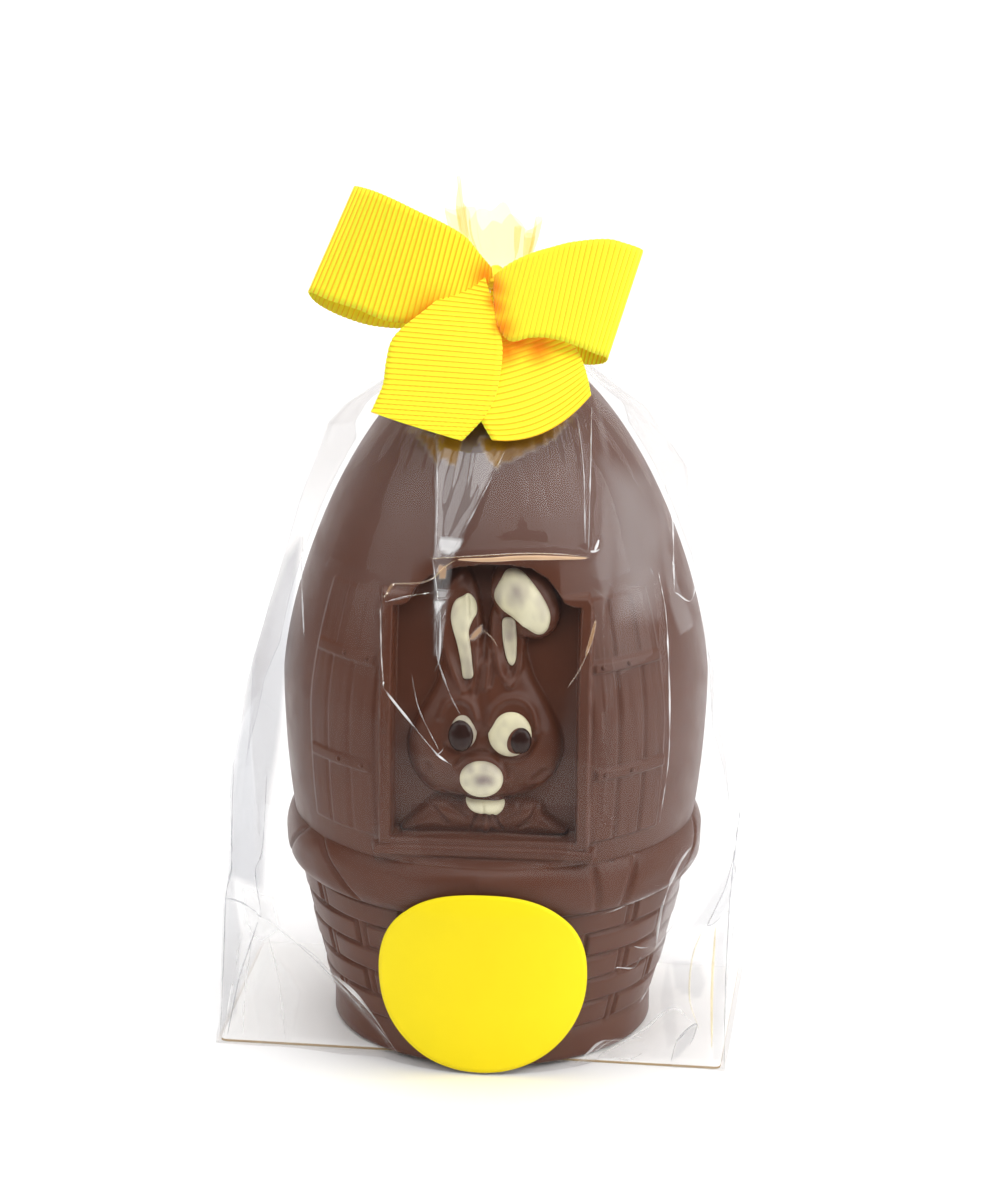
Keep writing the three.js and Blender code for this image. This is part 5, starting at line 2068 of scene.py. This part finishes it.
@dataclass(frozen=True)
class Studio:
    """White sweep, soft lights and camera."""

    distance: float = 1.090
    elevation: float = 17.3
    target: Place = (0.0013, 0.0, 0.1049)
    lens: float = 137.64
    roll: float = 0.7
    dim: float = 0.1
    bright: float = 0.8
    left: float = 0.3

    def camera(self) -> None:
        """Places the camera."""
        data = bpy.data.cameras.new("camera")
        data.lens = self.lens
        data.sensor_width = 36
        data.clip_start, data.clip_end = 0.05, 20
        cam = link("camera", data)
        e = math.radians(self.elevation)
        back = Vector((0, -math.cos(e), math.sin(e)))
        cam.location = Vector(self.target) + back * self.distance
        turn = (-back).to_track_quat("-Z", "Y").to_matrix().to_4x4()
        turn = turn @ Matrix.Rotation(math.radians(self.roll), 4, "Z")
        cam.rotation_euler = turn.to_euler()
        bpy.context.scene.camera = cam

    def lamp(self, name: str, place: Place, size: Pair, power: float) -> None:
        """Adds a soft box that looks at the object.

        Args:
            name: Lamp name.
            place: Where it stands, in metres.
            size: Width and height, in metres.
            power: Watts.
        """
        data = bpy.data.lights.new(name, "AREA")
        data.shape = "RECTANGLE"
        data.size, data.size_y = size
        data.energy = power
        lamp = link(name, data)
        lamp.location = place
        lamp.rotation_euler = (Vector((0, 0, 0.1)) - Vector(place)).to_track_quat("-Z", "Y").to_euler()

    def sweep(self) -> None:
        """Adds the floor that curves up into a backdrop."""
        half, front, back, bend, high = 2.4, -0.26, 1.3, 0.5, 2.6
        profile = [(front, 0.0), (back - bend, 0.0)]
        for a in np.linspace(0, math.pi / 2, 14)[1:]:
            profile.append((back - bend + bend * math.sin(a), bend - bend * math.cos(a)))
        profile.append((back, high))
        points = np.array([(x, y, z) for y, z in profile for x in (-half, half)]) / MM
        faces = [[2 * k, 2 * k + 1, 2 * k + 3, 2 * k + 2] for k in range(len(profile) - 1)]
        floor = to_object("sweep", points, faces)
        n = Shader("white_sweep")
        paint = n.add("ShaderNodeBsdfPrincipled", {"Base Color": (0.9, 0.9, 0.9, 1), "Roughness": 0.7})
        floor.data.materials.append(n.finish(paint))

    def build(self) -> None:
        """Sets up the whole studio."""
        self.camera()
        self.sweep()
        self.lamp("left_box", (-1.3, -0.65, 0.75), (1.4, 1.4), 9.5)
        self.lamp("right_box", (1.3, -0.6, 0.75), (1.4, 1.4), 17.5)
        self.lamp("front_box", (0.15, -1.2, 1.45), (1.6, 0.8), 8)
        self.lamp("top_box", (0.0, 0.25, 1.5), (1.3, 1.3), 14)
        self.surround()
        bpy.context.scene.view_settings.view_transform = "Standard"

    def surround(self) -> None:
        """Makes the white room: bright behind, above and on the right, dim in front and on the left."""
        world = bpy.data.worlds.new("studio")
        world.use_nodes = True
        n = NodeTree(world.node_tree)
        around = n.add("ShaderNodeTexCoord").outputs["Generated"]
        x, y, z = n.add("ShaderNodeSeparateXYZ", {0: around}).outputs
        lit = [
            n.add(
                "ShaderNodeMapRange", {0: way, 1: low, 2: high, 3: self.dim, 4: self.bright},
                interpolation_type="SMOOTHSTEP",
            ).outputs[0]
            for way, low, high in ((y, -0.75, -0.1), (z, 0.35, 0.85))
        ]
        across = n.add("ShaderNodeMapRange", {0: x, 1: -0.9, 2: -0.1, 3: self.left, 4: 1.0}).outputs[0]
        room = n.math("MULTIPLY", n.math("MAXIMUM", *lit), across)
        shown = n.math("MAXIMUM", n.add("ShaderNodeLightPath").outputs["Is Camera Ray"], room)
        paint = n.tree.nodes["Background"]
        paint.inputs[0].default_value = WHITE
        n.tree.links.new(shown, paint.inputs[1])
        bpy.context.scene.world = world


# ---------------------------------------------------------------- everything


# hard creases: each with a painted highlight, some with a painted tan reflection or painted grey shade
CREASES = (
    Crease(((-26.6, 115.6), (-26.2, 106.6), (-25.5, 99.3)), 0.5, 0.5, 0.6, 0.3),
    Crease(((-25.6, 100.6), (-25, 98.4), (-19.3, 91.2), (-13.3, 83.8), (-9.9, 81.1)), 0.62, 0.5, 1.0),
    Crease(((-13.5, 83.4), (-12.2, 84.4), (-11.8, 85.2)), 0.35, 0.2, 0.5),
    Crease(((-9, 127.4), (-2, 127.6), (5.2, 128), (12.4, 127.7), (20.4, 126.9)), 1.5, 0.4, 1.2, 0.95),
    Crease(
        ((-15.4, 127.2), (-5.1, 128.3), (5.2, 128.9), (14.4, 128.3), (21.1, 126.9)),
        0.3, 0.5, 0.35, 0.95,
    ),
    Crease(((-25.4, 117.9), (-19.8, 119.2), (-15.3, 119.9)), 0.35, 0.3, 0.15),
    Crease(
        ((-14.6, 126.4), (-13.5, 119.7), (-12.8, 115.2), (-12.9, 106.4), (-13.9, 102.7)),
        0.4, 0.4, 0.45,
    ),
    Crease(((23.2, 130.2), (22.7, 129), (22.2, 128.2)), 0.6, 0.5, 0.6),
    Crease(((21.2, 128.2), (22.4, 128), (23.4, 128.2)), 0.5, 0.3, 0.5),
    Crease(((22.6, 114.6), (21.6, 110.4), (20.4, 106.8)), 1.1, 0.4, 0.5, 1.0),
    Crease(((20.8, 107.4), (18.8, 103.2), (16.4, 99.6)), 0.35, 0.4, 0.3, 0.8),
    Crease(((-3, 112.3), (-1, 110.5), (0.2, 108.6)), 0.3, 0.2, 0.3, 0.9),
    Crease(((-14.2, 151.2), (-13.9, 139.2), (-14, 126.7)), 0.35, 0.4, 0.35),
    Crease(((1.5, 150), (-4.1, 139.9), (-9.6, 130.1)), 0.35, 0.3, 0.25),
    Crease(((18, 155.4), (19.5, 144.8), (20, 129.6)), 0.4, 0.5, 0.3),
    Crease(((21.4, 156.4), (21.1, 144.4), (20.8, 128.3)), 0.4, 0.5, 0.35),
    Crease(((37.3, 120.3), (39.3, 108.5), (40.3, 80.7), (38.4, 62.9)), 0.45, 0.4, 0.15),
    Crease(((38.8, 138.1), (40.7, 129), (41, 115.6)), 0.5, 0.6, 0.25),
    Crease(((41, 115.6), (45.1, 111.6), (46.3, 115.6), (42.5, 126.3)), 0.4, 0.4, 0.2),
    Crease(((-45.8, 123.5), (-45.4, 112.8), (-44.6, 102.7)), 0.5, 0.5, 0.4),
    Crease(((-54.8, 34), (-50.5, 31.6), (-46.5, 29.2)), 0.5, 0.6, 0.7),
    Crease(
        ((-46.5, 29.2), (-39.8, 23.6), (-35, 18.4), (-30.7, 13.4), (-22.4, 3.5)),
        0.45, 0.5, 0.35, shade=0.8,
    ),
    Crease(((-54.8, 34), (-59.3, 36.1), (-63.4, 36.5)), 0.7, 0.6, 0.3, shade=1.0),
    Crease(((-55.7, 32.4), (-60.2, 17.8), (-63.2, 2.7)), 0.6, 0.6, 0.25, shade=1.0),
    Crease(((-57, 29), (-58.8, 15.2), (-59.5, 3.2)), 0.4, 0.4, 0.6),
    Crease(((-53.4, 30.3), (-50.8, 18), (-49.3, 2.4)), 0.4, 0.4, 0.5),
    Crease(
        ((-61.9, 68), (-62.3, 52), (-62.3, 44), (-63.6, 36.5), (-64.2, 20), (-65, 1.8)),
        0.5, 0.3, 0.2, shade=1.0,
    ),
    Crease(((-53.6, 68.4), (-54.7, 50.5), (-56.4, 44), (-54.8, 34)), 0.45, 0.3, 0.25, shade=0.9),
    Crease(
        ((57.9, 60.7), (56.9, 52.2), (56, 43.5), (55.5, 34.9), (55.1, 20), (55.1, 0.8)),
        0.5, 0.3, 0.2, shade=1.0,
    ),
    Crease(((57, 52), (54.4, 43.5), (50.6, 35.4), (55.4, 38.3)), 0.45, 0.3, 0.3, shade=0.9),
    Crease(((52.4, 34.8), (51.9, 20.4), (52.1, 5.4)), 0.9, 0.3, 0.35, 0.8),
    Crease(((49.4, 34.6), (47, 27.1), (46.7, 17.1), (49, 10)), 0.5, 0.3, 0.3, 0.5),
    Crease(((38.4, 31.7), (42.8, 37.6), (46, 49.3)), 0.6, 0.4, 0.3),
    Crease(((38.4, 31.7), (35, 31), (33.2, 31.4)), 0.5, 0.4, 0.6),
    Crease(((25.3, 1.8), (35.1, 8.9), (42.5, 14.9), (47, 11.7)), 0.6, 0.5, 0.4),
    Crease(
        ((-26.2, 118.2), (-23.9, 120.2), (-16.2, 121.9), (-12, 125.5), (-9.5, 127.2)),
        0.45, 0.2, 0.3, 1.0,
    ),
    Crease(((48.5, 53.6), (38.8, 45.8), (24.9, 42.4)), 0.4, 0.4, 0.15),
    Crease(((32.9, 8.8), (25.8, 4.5), (20.9, 1.6)), 0.5, 0.4, 0.3),
    Crease(((-60.1, 26.7), (-62, 15.2), (-64.2, 1.6)), 0.5, 0.5, 0.6),
    Crease(((-12.9, 118.8), (-13.5, 107.4), (-10.8, 98.6), (-8.1, 93.2)), 0.3, 0.3, 0.2),
    Crease(((-19.2, 102), (-17.3, 93.9), (-12.7, 84.5)), 0.3, 0.3, 0.15),
    # edges of the crumpled film at the basket's right side, with painted highlights and painted grey shade
    Crease(((47.2, 56), (42.9, 50.6), (39.6, 41.9), (38.2, 30.7)), 0.7, 0.5, 0.4),
    Crease(((19.9, 1.6), (23.1, 3.9), (25.8, 5.7), (31.1, 6.6), (35.5, 7.5)), 0.6, 0.5, 0.45),
    Crease(((28.3, 1.5), (32.7, 1.2), (35.6, 3.5)), 0.5, 0.4, 0.4),
    Crease(((28.6, 26.2), (33, 25.5), (34.9, 28.5)), 0.5, 0.4, 0.5),
    Crease(((34.7, 16.5), (36.1, 18.9), (37.5, 21.9)), 0.5, 0.4, 0.4),
    Crease(((42.6, 1.9), (44.2, 7.4), (48.5, 11.2), (47, 6.1)), 0.5, 0.3, 0.2, shade=0.9),
    # fold across the foot on the left, with a painted highlight
    Crease(((-45.8, 29), (-40.3, 24.6), (-30.7, 15.3), (-21.9, 2.5)), 0.6, 0.5, 0.5),
)
FOLDS = (
    # taut pane over the window
    Fold(
        ((-15.5, 126.5), (21.1, 126.4), (22.2, 118.8), (20.8, 108.4), (16.9, 98.9), (14.6, 87.4),
         (11.6, 72.5), (-5.4, 72.2), (-9.9, 81.1), (-13.3, 83.8), (-25.5, 99.3), (-26, 115.1),
         (-20, 120.5)),
        3.0, gloss=0.05,
    ),
    # upright fold from the bow to the window, with a painted highlight
    Fold(
        ((-14.2, 151.2), (0.9, 150.8), (-4.1, 139.9), (-10.3, 127.1), (-12.7, 106.4), (-14, 106.4),
         (-14.5, 126.8)),
        0.8, out=0.5, white=0.12, gloss=1.6,
    ),
    # painted reflection of the tails' ribs under the bow
    Fold(((-14.4, 152.4), (-8, 152.4), (-9.7, 146), (-13.2, 147.7)), 0.7, white=0.55, gold_reflection=1.0),
    Fold(((-4.9, 152.4), (2.6, 152.4), (-0.1, 145.9), (-2.4, 148)), 0.7, white=0.55, gold_reflection=1.0),
    Fold(
        ((-2.9, 152.2), (0.3, 153), (4.8, 153), (10.5, 154.5), (15.1, 156.8), (17.4, 158.3), (17.9, 157),
         (16.7, 154.9), (14, 152.4), (10.6, 150.5), (6.7, 149.3), (3.5, 148), (1, 147.1), (-1, 148.7)),
        0.8, white=0.4, gold_reflection=1.0,
    ),
    Fold(
        ((-23.3, 152.7), (-20, 151.8), (-18.1, 150.3), (-14.4, 146.3), (-13.4, 146.9), (-14.4, 151.5)),
        0.8, white=0.4, gold_reflection=1.0,
    ),
    # painted glints in that fold, white and tan
    Fold(((-13.2, 131.6), (-7.9, 131.6), (-8.8, 129.4), (-10.8, 128.4), (-13, 128.7)), 0.5, white=0.75),
    Fold(((-14.2, 118.7), (-11.9, 118.5), (-13.6, 115.6)), 0.4, white=0.8),
    Fold(((-13.4, 125.8), (-11.2, 125.6), (-11.6, 122.8), (-13.2, 122.6)), 0.4, white=0.5, warm_reflection=0.9),
    Fold(((-6.4, 109.9), (-5.1, 111.8), (-3.5, 113.3), (-3, 111.9), (-5, 109.9)), 0.5, white=0.5, warm_reflection=0.9),
    # painted milky haze of reflection below the pane and on the right shoulder
    Fold(((-20, 76), (20, 76), (21.5, 60), (-21.5, 60)), 6.0, white=0.018),
    Fold(((24, 146), (34, 140), (40, 128), (37, 112), (29, 114), (27, 128)), 9.0, white=0.19),
    Fold(((36, 30), (44, 50), (50, 54), (47.7, 40), (41, 28)), 5.0, white=0.16),
    # left gusset seen edge on, in painted grey shade
    Fold(
        ((-46.3, 122.5), (-50, 117.5), (-55.1, 102), (-58.9, 88.8), (-61.3, 73.5), (-62.4, 60.5),
         (-62.9, 41.7), (-54.8, 40), (-53.2, 62.4), (-50.5, 82.3), (-48.2, 101), (-47, 114)),
        2.6, shade=0.8,
    ),
    # folds at the right edge, in painted grey shade
    Fold(
        ((58.5, 50), (53.6, 45.6), (46.4, 34.9), (51.7, 35.2), (55.4, 39.5), (57.6, 47.9)),
        1.0, shade=0.45, out=0.5,
    ),
    Fold(((51.7, 32.8), (54.6, 33.6), (55.2, 2.4), (52.4, 2.5)), 0.8, shade=0.35),
    # shoulders: faint painted grey shade and painted highlights
    Fold(
        ((-28.6, 157.8), (-40.5, 149), (-44.1, 137.6), (-46.4, 124.2), (-41.7, 132.2), (-35.9, 144.2),
         (-27.8, 153)),
        2.0, shade=0.06,
    ),
    Fold(
        ((23.1, 161.8), (32.6, 154.9), (39.6, 141.8), (40.7, 135.4), (32.8, 147.4), (24.4, 158.6)),
        2.0, shade=0.04,
    ),
    Fold(
        ((21.8, 160.8), (24.1, 146.2), (23.9, 132), (22.6, 125.1), (24.7, 115), (27.3, 124), (27.6, 135.9),
         (25.9, 148.2)),
        1.5, white=0.10,
    ),
    Fold(
        ((37.8, 138.7), (40.2, 122.7), (42.3, 115.4), (45.8, 108), (46.3, 105.5), (43, 105.4),
         (40.4, 112.9), (37.9, 124)),
        1.0, white=0.14,
    ),
    # crumpled film over the basket's right side and the foot, with painted highlights and painted grey shade
    Fold(
        ((48.5, 56.9), (46.9, 52.2), (42.2, 47.2), (38.2, 37.9), (38, 30.7), (39.9, 27.6), (41.7, 31.9),
         (44.8, 39.2), (49.5, 46.7), (50.5, 53.1)),
        1.2, white=0.22, out=0.6,
    ),
    Fold(
        ((19.4, 1.1), (22.2, 3.3), (25.5, 5.6), (30.6, 6.2), (35.5, 6.8), (37.2, 4.2), (35.7, 2.8),
         (30.7, 1.7), (25, 0.6)),
        1.0, white=0.18, out=0.5,
    ),
    Fold(((42.6, 1.8), (44.6, 8.2), (48.5, 11.2), (47, 6.1), (44.2, 2.4)), 0.8, shade=0.5),
    Fold(
        ((-45.8, 29), (-40.3, 24.6), (-30.7, 15.3), (-21.9, 1.5), (-25.5, 5.4), (-33.4, 14.9),
         (-38.6, 21.3)),
        1.0, white=0.14, out=0.4,
    ),
    # crumpled lower corners, with painted highlights and painted grey shade
    Fold(((-59.5, 39.5), (-52.4, 38.8), (-50.3, 31.4), (-54.8, 27.3), (-58.6, 31)), 2.5, white=0.5),
    Fold(
        ((-62.5, 44.5), (-63.6, 35.9), (-64.9, 2.3), (-61.1, 8.2), (-59.6, 27), (-61, 36.1)),
        1.0, shade=0.5, gloss=0.6,
    ),
    Fold(((-53.4, 27.3), (-45.8, 16), (-48.3, 1.4), (-55, 1), (-57.3, 15.4)), 2.5, white=0.22),
    Fold(((57.9, 59), (56.2, 44.3), (50.6, 35.4), (55.4, 40.3), (56.5, 49.7)), 0.8, shade=0.5),
    Fold(
        ((-64, 34.2), (-64.7, 1.8), (-30.1, 1.6), (-38.5, 18.4), (-45.5, 28), (-54.1, 28.8)),
        2.0, shade=0.08, white=0.03,
    ),
    Fold(((35, 16.8), (46.5, 27.1), (50, 26.8), (54.8, 0.7), (37.7, 1.6)), 2.0, shade=0.05, white=0.03),
    Fold(((42.3, 26.9), (48.9, 25.9), (50.4, 21), (49.1, 17.2), (43.4, 19.4)), 1.0, shade=0.4),
    Fold(((39.7, 16.7), (41.4, 26.8), (43, 16.9), (44.1, 6.9), (41.8, 4.3)), 1.0, shade=0.3),
)


def main() -> None:
    """Builds the pack, piece by piece."""
    logging.basicConfig(level=logging.INFO, format="%(name)s %(message)s")
    Studio().build()
    shell = EggShell()
    shell.build()
    EggBasket().build()
    ShutterNails(shell).build()
    RabbitFace().build()
    card = BaseCard()
    card.build()
    film = FilmBag(card=card, creases=CREASES, folds=FOLDS)
    film.build()
    RoundLabel().build(film)
    Bow().build()


if __name__ == "__main__":
    main()
